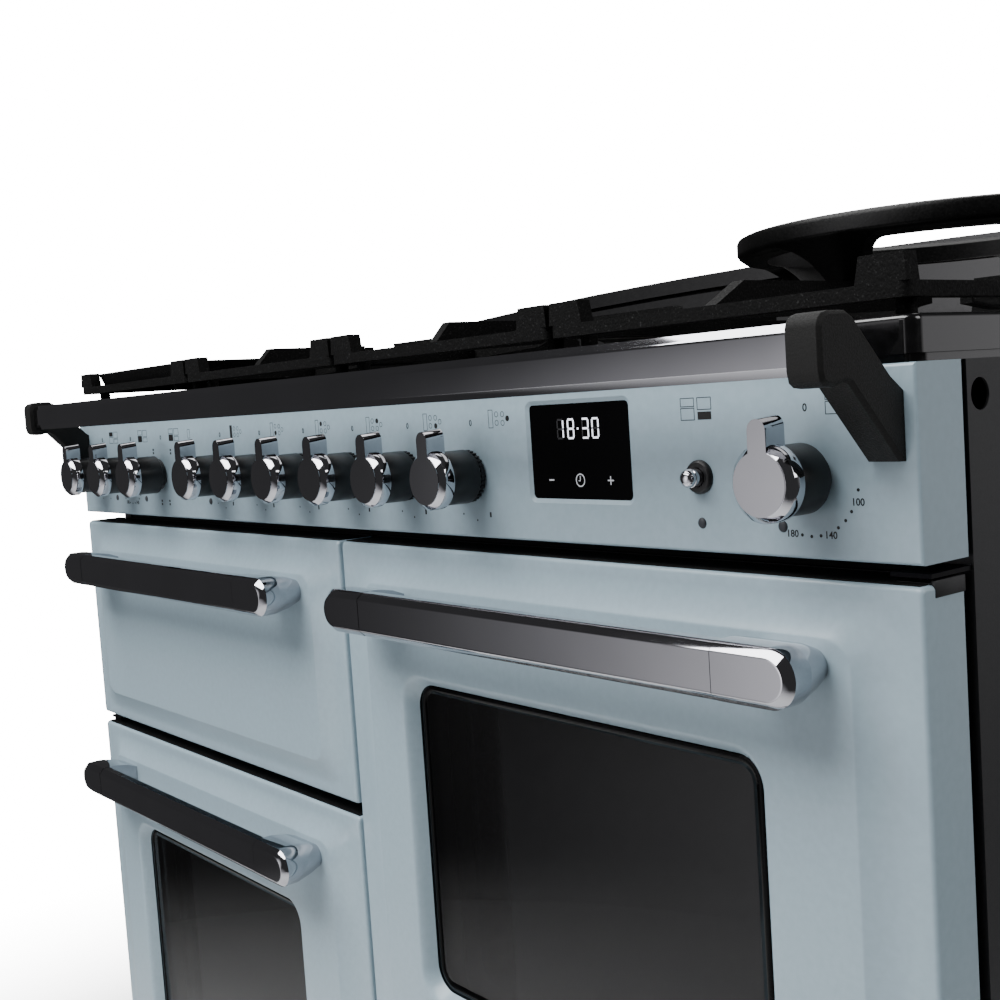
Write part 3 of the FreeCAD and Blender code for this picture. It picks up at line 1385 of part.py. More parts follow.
def switch_bank():
    """The rotary switches behind the oven and grill knobs, and the terminal box at the back."""
    pieces = []
    rail_y = frame_back_y
    for name, x in knob_places.items():
        if name in gas_knobs:
            continue
        body = block(x - knob_skirt_radius, x + knob_skirt_radius, front_y + tap_front,
                     rail_y - running_gap * 2, manifold_z - knob_skirt_radius, manifold_z + knob_skirt_radius)
        bore = rod_y(x, front_y, front_y + spindle_length + running_gap, manifold_z,
                     spindle_radius + pin_clearance)
        tab = block(x - knob_skirt_radius, x + knob_skirt_radius, front_y + sheet, front_y + tap_front,
                    manifold_z - knob_skirt_radius, manifold_z - knob_skirt_radius + sheet * 2)
        pieces.append(fused([body, tab]).cut(bore))
    x0 = half_width - terminal_inset
    z0 = terminal_z
    y0 = back_y - back_recess + sheet
    box = block(x0, x0 + terminal_width, y0, y0 + terminal_depth, z0, z0 + terminal_height)
    wall = terminal_wall
    hollow = block(x0 + wall, x0 + terminal_width - wall, y0 + sheet, y0 + terminal_depth - sheet,
                   z0 + gland_wall, z0 + terminal_height - wall)
    gland = rod_z(x0 + terminal_width / 2, y0 + terminal_depth / 2, z0 - overrun, z0 + gland_wall + overrun,
                  gland_radius)
    pieces.append(box.cut([hollow, gland]))
    return group(pieces)


def nodes():
    """Every sub-part by name."""
    parts = {
        "base_frame": base_frame(),
        "side_panels": group([side_panel(), mirrored(side_panel())]),
        "back_panel": back_panel(),
        "front_frame": front_frame(),
        "plinth": plinth(),
        "levelling_feet": levelling_feet(),
        "hob_tray": hob_tray(),
        "rear_flue_trim": flue_trim(),
        "fascia": fascia(),
        "clock_display": clock_display(),
        "lamps_and_bezel": lamps_and_bezel(),
        "push_button": push_button(),
        "handrail_bar": handrail_bar(),
        "handrail_brackets": handrail_brackets(),
        "grill_cavity": cavity(grill_bay, (grill_level_share,)),
        "left_oven_cavity": oven_cavity(left_bay),
        "right_oven_cavity": oven_cavity(right_bay),
        "grill_element": grill_element(),
        "grill_pan": grill_pan(),
        "oven_shelves": oven_shelves(),
        "fan_covers_and_motors": fan_units(),
        "left_oven_fan": oven_fan(left_bay),
        "right_oven_fan": oven_fan(right_bay),
        "burner_bodies": burner_bodies(),
        "burner_caps": burner_caps(),
        "griddle_support": griddle_support(),
        "pan_support_left": pan_support(1, ("front_left", "rear_left")),
        "pan_support_right": pan_support(2, ("front_right", "rear_right")),
        "wok_support": pan_support(3, ("wok",)),
        "griddle_plate": griddle_plate(),
        "wok_cradle": wok_cradle(),
        "grill_door_panel": door_skin(grill_bay, False).cut(drop_slots()),
        "grill_door_liner": grill_door_liner(),
        "grill_door_handle": handle(grill_bay),
        "left_oven_door_panel": hung_skin(left_bay, True, -1),
        "left_oven_door_glass": window_glass(left_bay),
        "left_oven_door_liner": door_liner(left_bay, True, -1),
        "left_oven_door_handle": handle(left_bay),
        "right_oven_door_panel": hung_skin(right_bay, True, 1),
        "right_oven_door_glass": window_glass(right_bay),
        "right_oven_door_liner": door_liner(right_bay, True, 1),
        "right_oven_door_handle": handle(right_bay),
        "drawer_front": door_skin(drawer_bay, False),
        "drawer_box": drawer_box(),
        "drawer_handle": handle(drawer_bay),
        "drawer_runners": drawer_runners(),
        "door_seals": door_seals(),
        "hinge_brackets": hinge_brackets(),
        "gas_manifold": gas_manifold(),
        "switches_and_terminal_box": switch_bank(),
    }
    for name, x in knob_places.items():
        parts[name] = knob(x)
    return parts


os.makedirs("parts", exist_ok=True)
for name, shape in nodes().items():
    shape.exportStep("parts/" + name + ".step")
    state = "valid" if shape.isValid() else "NOT VALID"
    print(name, len(shape.Solids), "solids", round(shape.Volume), "mm3", state)
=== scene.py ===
# %% [markdown]
# # A dual fuel range cooker
# The structure of this cooker comes in finished: sheet metal, doors, hinges, knobs and castings, each in its place.
# This notebook dresses it. Pressed doors, handles, knobs and castings get smooth surfaces, every surface gets the
# finish of the real one, and the dials and the clock get their marks. All lengths are metres.

# %% Load the cooker's frame
import math

import bmesh
import bpy
from mathutils import Matrix, Vector


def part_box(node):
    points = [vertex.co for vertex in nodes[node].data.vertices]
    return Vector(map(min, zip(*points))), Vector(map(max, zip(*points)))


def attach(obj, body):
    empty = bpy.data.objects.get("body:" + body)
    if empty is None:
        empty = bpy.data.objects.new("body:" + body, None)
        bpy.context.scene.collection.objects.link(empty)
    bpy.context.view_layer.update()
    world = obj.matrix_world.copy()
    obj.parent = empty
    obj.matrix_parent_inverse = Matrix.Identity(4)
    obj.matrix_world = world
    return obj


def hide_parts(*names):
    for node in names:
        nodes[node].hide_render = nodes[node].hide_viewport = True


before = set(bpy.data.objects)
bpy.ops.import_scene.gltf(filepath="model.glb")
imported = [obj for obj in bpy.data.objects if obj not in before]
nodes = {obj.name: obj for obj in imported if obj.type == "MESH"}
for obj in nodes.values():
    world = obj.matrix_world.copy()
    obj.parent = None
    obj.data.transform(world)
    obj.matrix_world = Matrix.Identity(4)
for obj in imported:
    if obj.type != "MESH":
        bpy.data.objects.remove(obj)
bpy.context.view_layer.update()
MM = 0.001

# %% [markdown]
# ## Colours and shader nodes
# Enamel, chrome and cast iron are all mixed from a few shader nodes. One function turns a colour as a designer
# writes it into the linear light that a shader reads, and one function adds any node with its settings and links.
# Nearly every finish is one noise of a real grain size, so a third function makes a whole finish from that.

# %% Colour and node helpers
def linear(hex_colour):
    """An sRGB hex colour as linear RGBA."""
    values = [int(hex_colour[k:k + 2], 16) / 255 for k in (1, 3, 5)]
    return (*[v / 12.92 if v <= 0.04045 else ((v + 0.055) / 1.055) ** 2.4 for v in values], 1.0)


def add_node(tree, kind, inputs=None, **settings):
    """A shader node with its settings, its fixed values and its links."""
    node = tree.nodes.new(kind)
    for name, value in settings.items():
        setattr(node, name, value)
    for name, value in (inputs or {}).items():
        if isinstance(value, bpy.types.NodeSocket):
            tree.links.new(value, node.inputs[name])
        else:
            node.inputs[name].default_value = value
    return node


def new_finish(name, **uniform):
    """A material with one shader, whose uniform values sit on its own sockets; returns what patterns need."""
    material = bpy.data.materials.new(name)
    material.use_nodes = True
    tree = material.node_tree
    tree.nodes.clear()
    values = {key.replace("_", " "): value for key, value in uniform.items()}
    shader = add_node(tree, "ShaderNodeBsdfPrincipled", values)
    add_node(tree, "ShaderNodeOutputMaterial", {"Surface": shader.outputs["BSDF"]})
    place = add_node(tree, "ShaderNodeTexCoord").outputs["Object"]
    return material, tree, shader, place


def maths(tree, operation, first, second=0.5):
    """The outcome of one sum, product, power or sine."""
    return add_node(tree, "ShaderNodeMath", {0: first, 1: second}, operation=operation).outputs[0]


def ranged(tree, value, low, high, to_low=0.0, to_high=1.0, **settings):
    """A value mapped from one range to another."""
    return add_node(tree, "ShaderNodeMapRange", {"Value": value, "From Min": low, "From Max": high, "To Min": to_low,
                                                 "To Max": to_high}, **settings).outputs["Result"]


def noise_of(tree, place, size_mm, detail):
    """A noise whose grain has a real size."""
    inputs = {"Vector": place, "Scale": 1 / (size_mm * MM), "Detail": detail}
    return add_node(tree, "ShaderNodeTexNoise", inputs).outputs["Fac"]


def two_tone(tree, factor, stops, dark, light):
    """A colour ramp between two tones."""
    ramp = add_node(tree, "ShaderNodeValToRGB", {"Fac": factor})
    for element, position, colour in zip(ramp.color_ramp.elements, stops, (dark, light)):
        element.position, element.color = position, linear(colour)
    return ramp.outputs["Color"]


def grain(tree, shader, place, size_mm, dark, light, rough, bump_mm=0, stretch=(1, 1, 1), detail=3.0):
    """An uneven finish: one noise of a real grain size drives colour, roughness and height."""
    spread = add_node(tree, "ShaderNodeMapping", {"Vector": place, "Scale": stretch}, vector_type="POINT")
    noise = noise_of(tree, spread.outputs["Vector"], size_mm, detail)
    tree.links.new(two_tone(tree, noise, (0.3, 0.7), dark, light), shader.inputs["Base Color"])
    tree.links.new(ranged(tree, noise, 0.3, 0.7, *rough), shader.inputs["Roughness"])
    if bump_mm:
        height = add_node(tree, "ShaderNodeBump", {"Height": noise, "Strength": 1.0, "Distance": bump_mm * MM})
        tree.links.new(height.outputs["Normal"], shader.inputs["Normal"])


def finish(name, *pattern, stretch=(1, 1, 1), detail=3.0, **uniform):
    """A material with one grain; pattern is its size in mm, dark, light, roughness range and bump in mm."""
    material, tree, shader, place = new_finish(name, **uniform)
    grain(tree, shader, place, *pattern, stretch=stretch, detail=detail)
    return material


print("sRGB #808080 is", round(linear("#808080")[0], 4), "in linear light")

# %% [markdown]
# ## Enamel
# The doors and the fascia are steel, pressed and then coated with a satin vitreous enamel. It is nearly flat in
# colour, with a faint orange-peel surface from firing that softens reflections. The hob tray and the burner caps
# have the same coat in gloss black.

# %% Enamel finishes
def enamel(name, dark, light, rough, coat_weight, coat_rough):
    """Fired enamel: a very slight cloud of tone, and orange peel about 5 mm across."""
    return finish(name, 5.0, dark, light, rough, 0.004, detail=1.0, IOR=1.5, Coat_Weight=coat_weight,
                  Coat_Roughness=coat_rough)


BLUE = enamel("satin_enamel_powder_blue", "#99AEB9", "#9EB3BE", (0.36, 0.40), 0.25, 0.25)
BLACK_GLOSS = enamel("gloss_enamel_black", "#060607", "#0B0B0C", (0.14, 0.2), 0.5, 0.05)
OVEN_ENAMEL = enamel("vitreous_oven_enamel", "#0E0E10", "#17171A", (0.25, 0.35), 0.3, 0.15)
print("enamels:", BLUE.name, BLACK_GLOSS.name, OVEN_ENAMEL.name)

# %% [markdown]
# ## Metals
# Handles, knobs and the handrail are mirror plated, in a smoky dark chrome with only a breath of haze. Hidden
# sheets are zinc-coated, with their large flake. Wire, brass and die castings have their own finer grain.

# %% Plated and bare metals
HAZE_MM = 60.0    # a mirror plate has no grain, only broad clouds


def metal(name, grain_mm, dark, light, rough, bump_mm=0, stretch=(1, 1, 1)):
    """Plated or bare metal with its own haze, grain or flake."""
    return finish(name, grain_mm, dark, light, rough, bump_mm, stretch=stretch, Metallic=1.0)


CHROME = metal("mirror_chrome_plate", HAZE_MM, "#BABABF", "#C2C2C7", (0.03, 0.05))
DARK_CHROME = metal("smoked_chrome_plate", HAZE_MM, "#B0B0B5", "#B6B6BB", (0.04, 0.06))
ZINC = metal("zinc_plated_steel", 8.0, "#8C8F93", "#A5A8AC", (0.3, 0.45), 0.003)
BLACK_ZINC = metal("black_passivated_zinc", 3.0, "#0E0E10", "#161618", (0.4, 0.5), 0.003)
GALVANISED = metal("galvanised_sheet", 14.0, "#8F9499", "#A9AEB3", (0.35, 0.5), 0.004)
STAINLESS = metal("polished_stainless_wire", 2.0, "#9A9A9C", "#B4B4B6", (0.15, 0.25), 0.001, (1, 0.1, 1))
BRASS = metal("turned_brass", 1.5, "#B08D4A", "#C9A55E", (0.25, 0.35), 0.002, (1, 8, 1))
ALUMINIUM = metal("die_cast_aluminium", 1.2, "#77787A", "#8C8D8F", (0.45, 0.6), 0.03)
print("metals:", [m.name for m in (CHROME, DARK_CHROME, ZINC, GALVANISED, STAINLESS, BRASS, ALUMINIUM)])

# %% [markdown]
# ## Coats and plastics
# The pan supports are cast iron with a rough matt coat: sand-mould grain about 1 mm across, with pale flecks painted
# in as glints where its tips catch the light. Painted sheet, rubber and moulded plastic are made the same way, with
# finer and flatter grain.

# %% Coated castings, coated sheet and plastics
def coated(name, grain_mm, dark, light, rough, bump_mm, ior=1.45):
    """A thin coat or a moulded skin: the grain underneath shows through as small lumps."""
    return finish(name, grain_mm, dark, light, rough, bump_mm, detail=4.0, IOR=ior)


def painted_glint_flecks(material, size_mm, fleck):
    """Painted glints: pale flecks over a finish's colour, where the tips of the sand grain catch the light."""
    tree = material.node_tree
    shader = next(node for node in tree.nodes if node.type == "BSDF_PRINCIPLED")
    place = next(node for node in tree.nodes if node.type == "TEX_COORD").outputs["Object"]
    under = shader.inputs["Base Color"].links[0].from_socket
    tips = ranged(tree, noise_of(tree, place, size_mm, 1.0), 0.64, 0.78)
    # A mix of colours has its factor at input 0, its colours at 6 and 7, and its result at output 2.
    mixed = add_node(tree, "ShaderNodeMix", data_type="RGBA")
    tree.links.new(tips, mixed.inputs[0])
    tree.links.new(under, mixed.inputs[6])
    mixed.inputs[7].default_value = linear(fleck)
    tree.links.new(mixed.outputs[2], shader.inputs["Base Color"])


CAST_IRON = coated("matt_coated_cast_iron", 1.6, "#010101", "#060606", (0.55, 0.8), 0.5, 1.22)
WOK_IRON = coated("satin_coated_cast_iron", 1.4, "#010101", "#040404", (0.32, 0.45), 0.12, 1.3)
# Both cast irons get painted glints: pale flecks in their colour where grain tips catch the light.
painted_glint_flecks(CAST_IRON, 1.5, "#2A2A2A")
painted_glint_flecks(WOK_IRON, 1.2, "#161616")
BRACKET_COAT = coated("textured_powder_coat", 0.9, "#050504", "#0B0B0A", (0.5, 0.7), 0.2, 1.35)
# Flat black is painted shade: on the front frame and on the door tops it stands for the shadow in the gaps round the
# doors.
BLACK_PAINTED_SHADE = coated("flat_black_paint", 1.1, "#020202", "#050505", (0.6, 0.8), 0.02, 1.3)
SIDE_COAT = coated("charcoal_powder_coat", 0.9, "#151618", "#1A1B1D", (0.4, 0.5), 0.02)
RUBBER = coated("seal_rubber", 1.5, "#0C0C0C", "#151515", (0.7, 0.85), 0.05)
BLACK_PLASTIC = coated("moulded_black_plastic", 0.6, "#0B0B0C", "#111112", (0.4, 0.5), 0.02)
SKIRT = coated("satin_graphite_plastic", 0.7, "#0B0B0D", "#111113", (0.34, 0.42), 0.008)
print("coats:", [m.name for m in (CAST_IRON, WOK_IRON, BRACKET_COAT, SIDE_COAT, RUBBER, BLACK_PLASTIC, SKIRT)])

# %% [markdown]
# ## Glass, light and ink
# The oven windows are dark toughened glass, seen through only a little, with a printed border of tiny dots. The
# inner pane has a grey film against heat, whose grey is painted light: it stands for the lit inside of the oven seen
# through the glass. The clock is black glass over white segments. Marks on the fascia are fired-on ink.

# %% Glass, lit segments and ink
def dark_glass(name, ior, alpha):
    """Tinted glass: glossy, and let through by its alpha so that the oven behind stays faint."""
    return finish(name, 90.0, "#020203", "#040405", (0.02, 0.05), IOR=ior, Alpha=alpha)


def lit(name, colour, strength):
    """A lit segment: its own light, slightly uneven like a real lamp behind a diffuser."""
    return finish(name, 2.0, colour, colour, (0.4, 0.5), Emission_Strength=strength, Emission_Color=linear(colour))


def ink(name, colour):
    """Fired-on printing ink, a thin matt film."""
    return finish(name, 0.5, colour, colour, (0.5, 0.6), IOR=1.45)


WINDOW_GLASS = dark_glass("tinted_oven_glass", 1.5, 0.55)
CLOCK_GLASS = dark_glass("black_clock_glass", 1.12, 1.0)
SEGMENT_LIGHT = lit("white_segment_light", "#F2F4FF", 1.6)
SEGMENT_OFF = ink("unlit_segment", "#18181B")
# The printed icons get a faint light of their own: a painted glow, since print is no lamp.
ICON_PAINTED_GLOW = lit("pale_icon_print", "#C9CCD2", 0.35)
FASCIA_INK = ink("dark_fascia_print", "#030304")
LAMP_LENS = ink("smoked_lamp_lens", "#2E3136")
print("glass and ink ready")

# %% Dotted border, and heat film with painted interior light
DOT_PITCH = 2.2 * MM


def dotted_border():
    """Black ink printed as a grid of dots, like the ceramic border of oven glass."""
    material, tree, shader, place = new_finish("dotted_ceramic_print", IOR=1.15, Roughness=0.05)
    split = add_node(tree, "ShaderNodeSeparateXYZ", {"Vector": place})
    waves = [maths(tree, "SINE", maths(tree, "MULTIPLY", split.outputs[axis], math.tau / DOT_PITCH))
             for axis in ("X", "Z")]
    cell = maths(tree, "MULTIPLY", *waves)
    tree.links.new(two_tone(tree, cell, (0.25, 0.5), "#010101", "#0D0D0F"), shader.inputs["Base Color"])
    return material


def grey_film_painted_interior(fade_from, fade_to):
    """The grey heat-reflecting film on the inner pane, its grey painted light for the lit inside of the oven: even, and
    fading out towards its edge along x, as painted shade where that inside is dark.
    """
    material, tree, shader, place = new_finish("heat_reflecting_film", IOR=1.3)
    # Painted light: this grey stands for the lit back of the oven seen through the window.
    grain(tree, shader, place, 60.0, "#4E4F52", "#525356", (0.6, 0.7))
    split = add_node(tree, "ShaderNodeSeparateXYZ", {"Vector": place})
    fade = ranged(tree, split.outputs["X"], fade_from, fade_to, interpolation_type="SMOOTHSTEP")
    tree.links.new(fade, shader.inputs["Alpha"])
    return material


DOTS = dotted_border()
print("border print ready")

# %% [markdown]
# ## Finishes on the finished structure
# Most of the sheet metal and every hidden piece keep the shape they came with. Each one is given the finish that
# such a piece has on a real cooker.

# %% Dress the structure's own pieces
node_finishes = {
    BLUE: ["fascia"],
    BLACK_GLOSS: ["hob_tray", "rear_flue_trim"],
    OVEN_ENAMEL: ["grill_cavity", "left_oven_cavity", "right_oven_cavity", "grill_pan", "fan_covers_and_motors"],
    SIDE_COAT: ["side_panels", "plinth", "grill_door_liner", "left_oven_door_liner", "right_oven_door_liner"],
    # The front frame gets painted shade black, for the shadow in the gaps beside the doors.
    BLACK_PAINTED_SHADE: ["front_frame"],
    GALVANISED: ["base_frame", "back_panel", "drawer_box"],
    BLACK_ZINC: ["hinge_brackets"],
    ZINC: ["drawer_runners", "left_oven_fan", "right_oven_fan"],
    STAINLESS: ["oven_shelves", "grill_element"],
    BRASS: ["gas_manifold"],
    RUBBER: ["door_seals"],
    BLACK_PLASTIC: ["levelling_feet", "switches_and_terminal_box"],
    WINDOW_GLASS: ["left_oven_door_glass", "right_oven_door_glass"],
    CLOCK_GLASS: ["clock_display"],
    ALUMINIUM: ["burner_bodies"],
}
for material, names in node_finishes.items():
    for name in names:
        slots = nodes[name].data.materials
        slots.clear()
        slots.append(material)
print("dressed", sum(len(v) for v in node_finishes.values()), "pieces of the structure")

# %% [markdown]
# ## Shaping with rings
# A pressed door, a handle and a clock bezel are all stacks of rounded rectangles at different depths. A ring is a
# flat square face, scaled, its four corners bevelled round, and then only its edge kept. Joining each ring to the
# next, corner by corner, gives one smooth skin, as a press draws one sheet.

# %% Ring and skin helpers
def move(bm, way, verts=None):
    """Moves points, or the whole shape."""
    bmesh.ops.translate(bm, vec=way, verts=verts or bm.verts)


def turn(bm, angle, axis, verts=None):
    """Turns points, or the whole shape, about an axis through the origin."""
    bmesh.ops.rotate(bm, cent=(0, 0, 0), matrix=Matrix.Rotation(angle, 3, axis), verts=verts or bm.verts)


def ring(bm, x0, x1, z0, z1, radius, y, steps=8):
    """The edge loop of a rounded rectangle that stands in the plane y."""
    before = set(bm.verts)
    corners = bmesh.ops.create_grid(bm, x_segments=1, y_segments=1, size=0.5)["verts"]
    bmesh.ops.scale(bm, vec=(x1 - x0, z1 - z0, 1), verts=corners)
    turn(bm, math.pi / 2, "X", corners)
    move(bm, ((x0 + x1) / 2, y, (z0 + z1) / 2), corners)
    bmesh.ops.bevel(bm, geom=corners, offset=min(radius, (z1 - z0) * 0.499, (x1 - x0) * 0.499), segments=steps,
                    affect="VERTICES", profile=0.5, material=-1, offset_type="OFFSET", clamp_overlap=False)
    made = set(bm.verts) - before
    faces = [f for f in bm.faces if f.verts[0] in made]
    edges = [e for e in bm.edges if e.verts[0] in made]
    bmesh.ops.delete(bm, geom=faces, context="FACES_ONLY")
    return edges


def inset_ring(bm, box, insets, radius, y):
    """A ring inside a box of x0, x1, z0 and z1, with its own inset at the left, right, bottom and top."""
    x0, x1, z0, z1 = box
    left, right, bottom, top = insets
    return ring(bm, x0 + left, x1 - right, z0 + bottom, z1 - top, radius, y)


def around(edges):
    """A ring's corners in order around its middle."""
    corners = list({v for e in edges for v in e.verts})
    middle = sum((v.co for v in corners), Vector()) / len(corners)
    return sorted(corners, key=lambda v: math.atan2(v.co.z - middle.z, v.co.x - middle.x))


def skin(bm, rings, close_first=False, close_last=False):
    """Joins each ring to the next, and fills the ends that should be closed."""
    loops = [around(edges) for edges in rings]
    for first, second in zip(loops, loops[1:]):
        for k in range(len(first)):
            bm.faces.new((first[k - 1], first[k], second[k], second[k - 1]))
    for wanted, edges in ((close_first, rings[0]), (close_last, rings[-1])):
        if wanted:
            bmesh.ops.contextual_create(bm, geom=edges)
    bmesh.ops.recalc_face_normals(bm, faces=bm.faces)


def block(bm, size, centre=(0, 0, 0)):
    """The corners of a box of a given width, depth and height."""
    corners = bmesh.ops.create_cube(bm, size=1.0)["verts"]
    bmesh.ops.scale(bm, vec=size, verts=corners)
    move(bm, centre, corners)
    return corners


def pull(bm, faces, way):
    """Pulls faces out of their place, and walls grow behind them."""
    pulled = bmesh.ops.extrude_face_region(bm, geom=faces)["geom"]
    move(bm, way, [v for v in pulled if isinstance(v, bmesh.types.BMVert)])


trial = bmesh.new()
print("a ring has", len(ring(trial, 0, 1, 0, 1, 0.1, 0)), "edges")
trial.free()

# %% [markdown]
# ## From a shape to a piece
# A shape becomes an object at the origin, smooth except at its real edges, that rides on the body it belongs to and
# may stand for one of the structure's plain pieces. Helper objects live only as long as a modifier needs them.

# %% Object and modifier helpers
def add_object(name, data):
    """A new object in the scene, at the origin."""
    made = bpy.data.objects.new(name, data)
    bpy.context.scene.collection.objects.link(made)
    return made


def loose(bm, name):
    """Turns a bmesh into an object that rides on nothing yet."""
    mesh = bpy.data.meshes.new(name)
    bm.to_mesh(mesh)
    bm.free()
    return add_object(name, mesh)


def finish_mesh(bm, name, material, body, sharp_angle=35, replaces=()):
    """Makes the mesh an object at the origin that moves with its body, smooth except at real edges."""
    piece = loose(bm, name)
    piece.data.shade_smooth()
    piece.data.set_sharp_from_angle(angle=math.radians(sharp_angle))
    piece.data.materials.append(material)
    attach(piece, body)
    if replaces:
        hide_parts(*replaces)
    return piece


def add_modifier(piece, kind, **settings):
    """A live modifier on a piece."""
    modifier = piece.modifiers.new(kind.title(), kind)
    for name, value in settings.items():
        setattr(modifier, name, value)


def join(piece, tool, operation="DIFFERENCE"):
    """A live Boolean: another object is cut away, or added."""
    add_modifier(piece, "BOOLEAN", object=tool, operation=operation, solver="EXACT")


def solid_from(piece):
    """The mesh of a piece with its modifiers applied; the piece itself is removed."""
    bpy.context.view_layer.update()
    depsgraph = bpy.context.evaluated_depsgraph_get()
    mesh = bpy.data.meshes.new_from_object(piece.evaluated_get(depsgraph))
    bpy.data.objects.remove(piece)
    return mesh


# %% [markdown]
# ## Pressed door fronts
# Each front is one sheet of steel, drawn in a press: a folded edge, a flat border, a soft slope and a raised
# centre. The oven doors have a window, and the sheet rolls gently in to the glass. The rings repeat those depths,
# and a Solidify modifier gives the skin the sheet's thickness inwards.

# %% Door front sizes
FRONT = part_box("fascia")[0].y
SHEET = 1.5 * MM
FOLD = 2.8 * MM        # radius of the folded edge
PILLOW = {"side": (12 * MM, 40 * MM), "end": (9 * MM, 30 * MM), "height": 7.5 * MM, "radius": (26 * MM, 15 * MM)}
WINDOW = {"left": 93 * MM, "right": 109 * MM, "bottom": 76 * MM, "top": 105.5 * MM}
WINDOW_R, WINDOW_LIP, WINDOW_DEPTH = 19 * MM, 9.5 * MM, 3 * MM
CROWN = 0.2 * MM
TOP_PLAY = 2.5 * MM    # each sheet ends a little below its door's full height
fronts = {
    "grill_door_panel": ("grill_door", False),
    "left_oven_door_panel": ("left_oven_door", True),
    "right_oven_door_panel": ("right_oven_door", True),
    "drawer_front": ("drawer", False),
}
print("door fronts stand at y", round(FRONT, 4))


# %% The sheet's rings
def mix(pair, t):
    """A value between two."""
    return pair[0] + (pair[1] - pair[0]) * t


def slope_stations():
    """The drawn slope as (way across, share of its height): hollow at its foot, and a clear crease at its top."""
    foot = [(k / 10, (k / 10) ** 1.7) for k in range(10)]
    return [(-0.06, 0.0)] + foot + [(0.965, 0.945), (0.99, 0.982), (1.015, 0.998), (1.045, 1.0), (1.1, 1.0)]


def window_drop(t):
    """How far the sheet has rolled in to the glass: slowly at first, then ever steeper."""
    return t ** 2 * (1.6 - 0.6 * t)


def front_rings(bm, low, high, windowed):
    """The rings of one front, from its back edge over the border and the slope to the centre or the glass."""
    flat = (0, 0, 0, 0)
    rows = [(flat, FOLD, high.y), (flat, FOLD, FRONT + FOLD)]
    for k in range(1, 6):
        a = k / 5 * math.pi / 2
        rows.append(((FOLD * (1 - math.cos(a)),) * 4, FOLD * 1.2, FRONT + FOLD * (1 - math.sin(a))))
    for t, rise in slope_stations():
        side, end = mix(PILLOW["side"], t), mix(PILLOW["end"], t)
        rows.append(((side, side, end, end), mix(PILLOW["radius"], t), FRONT - PILLOW["height"] * rise))
    if windowed:
        crest = rows[-1][0]
        for t in (0.25, 0.5, 0.75):
            insets = [mix((here, glass - WINDOW_LIP), t) for here, glass in zip(crest, WINDOW.values())]
            rows.append((insets, mix((PILLOW["radius"][1], WINDOW_R + WINDOW_LIP / 2), t),
                         FRONT - PILLOW["height"] - CROWN * t))
        for k in range(13):
            spread = WINDOW_LIP * (1 - k / 12)
            fall = (PILLOW["height"] + WINDOW_DEPTH) * window_drop(k / 12)
            rows.append(([glass - spread for glass in WINDOW.values()], WINDOW_R + spread / 2,
                         FRONT - PILLOW["height"] - CROWN + fall))
    box = (low.x, high.x, low.z, high.z - TOP_PLAY)
    return [inset_ring(bm, box, *row) for row in rows]


print("rings on the slope:", len(slope_stations()))

# %% Press the four fronts
ARM_SLOT = (5 * MM, 60 * MM, 45.6 * MM)
ARM_IN, ARM_BACK, ARM_DOWN = 60 * MM, 33.4 * MM, 7.2 * MM
PIN_IN, PIN_BACK, PIN_R = 12 * MM, 20 * MM, 4.3 * MM


def hinge_cutter(name, low, high):
    """What is punched out of a front's folded edge for its hinges: a pin's hole, or slots for two arms."""
    bm = bmesh.new()
    if name == "grill_door_panel":
        for x in (low.x + ARM_IN, high.x - ARM_IN):
            block(bm, ARM_SLOT, (x, FRONT + ARM_BACK, low.z - ARM_DOWN))
        return loose(bm, "cutter")
    x = low.x + PIN_IN if name.startswith("left") else high.x - PIN_IN
    pin = Matrix.Translation((x, FRONT + PIN_BACK, (low.z + high.z) / 2))
    bmesh.ops.create_cone(bm, cap_ends=True, segments=32, radius1=PIN_R, radius2=PIN_R,
                          depth=(high.z - low.z) * 1.2, matrix=pin)
    return loose(bm, "cutter")


for name, (body, windowed) in fronts.items():
    low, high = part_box(name)
    bm = bmesh.new()
    skin(bm, front_rings(bm, low, high, windowed), close_last=not windowed)
    sheet = loose(bm, "sheet")
    add_modifier(sheet, "SOLIDIFY", thickness=SHEET, offset=-1)
    cutter = hinge_cutter(name, low, high) if body != "drawer" else None
    if cutter:
        join(sheet, cutter)
    bm = bmesh.new()
    bm.from_mesh(solid_from(sheet))
    if cutter:
        bpy.data.objects.remove(cutter)
    piece = finish_mesh(bm, name + "_pressed", BLUE, body, 50, (name,))
    print(piece.name, len(piece.data.polygons), "faces")

# %% [markdown]
# ## Door tops and hinge caps
# Behind its rolled edge the top of each door is closed by a black strip, painted shade, so the gap above the door
# stays as dark as the shadow in it. A small black cap covers the upper hinge of each side-hung door.

# %% A black strip of painted shade along the top of each door
STRIP_BACK, STRIP_SIDE, STRIP_THICK, STRIP_RISE = 3.2 * MM, 3.5 * MM, 0.8 * MM, 0.35 * MM
for name in ("grill_door_panel", "left_oven_door_panel", "right_oven_door_panel"):
    low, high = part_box(name)
    body = fronts[name][0]
    near, far = FRONT + STRIP_BACK, high.y
    bm = bmesh.new()
    block(bm, (high.x - low.x - 2 * STRIP_SIDE, far - near, STRIP_THICK),
          ((low.x + high.x) / 2, (near + far) / 2, high.z - TOP_PLAY + STRIP_RISE))
    # The strip is painted shade for the dark gap above the door.
    finish_mesh(bm, body + "_top_strip", BLACK_PAINTED_SHADE, body, 30)
print("top strips are", round((far - near) / MM, 1), "mm deep")

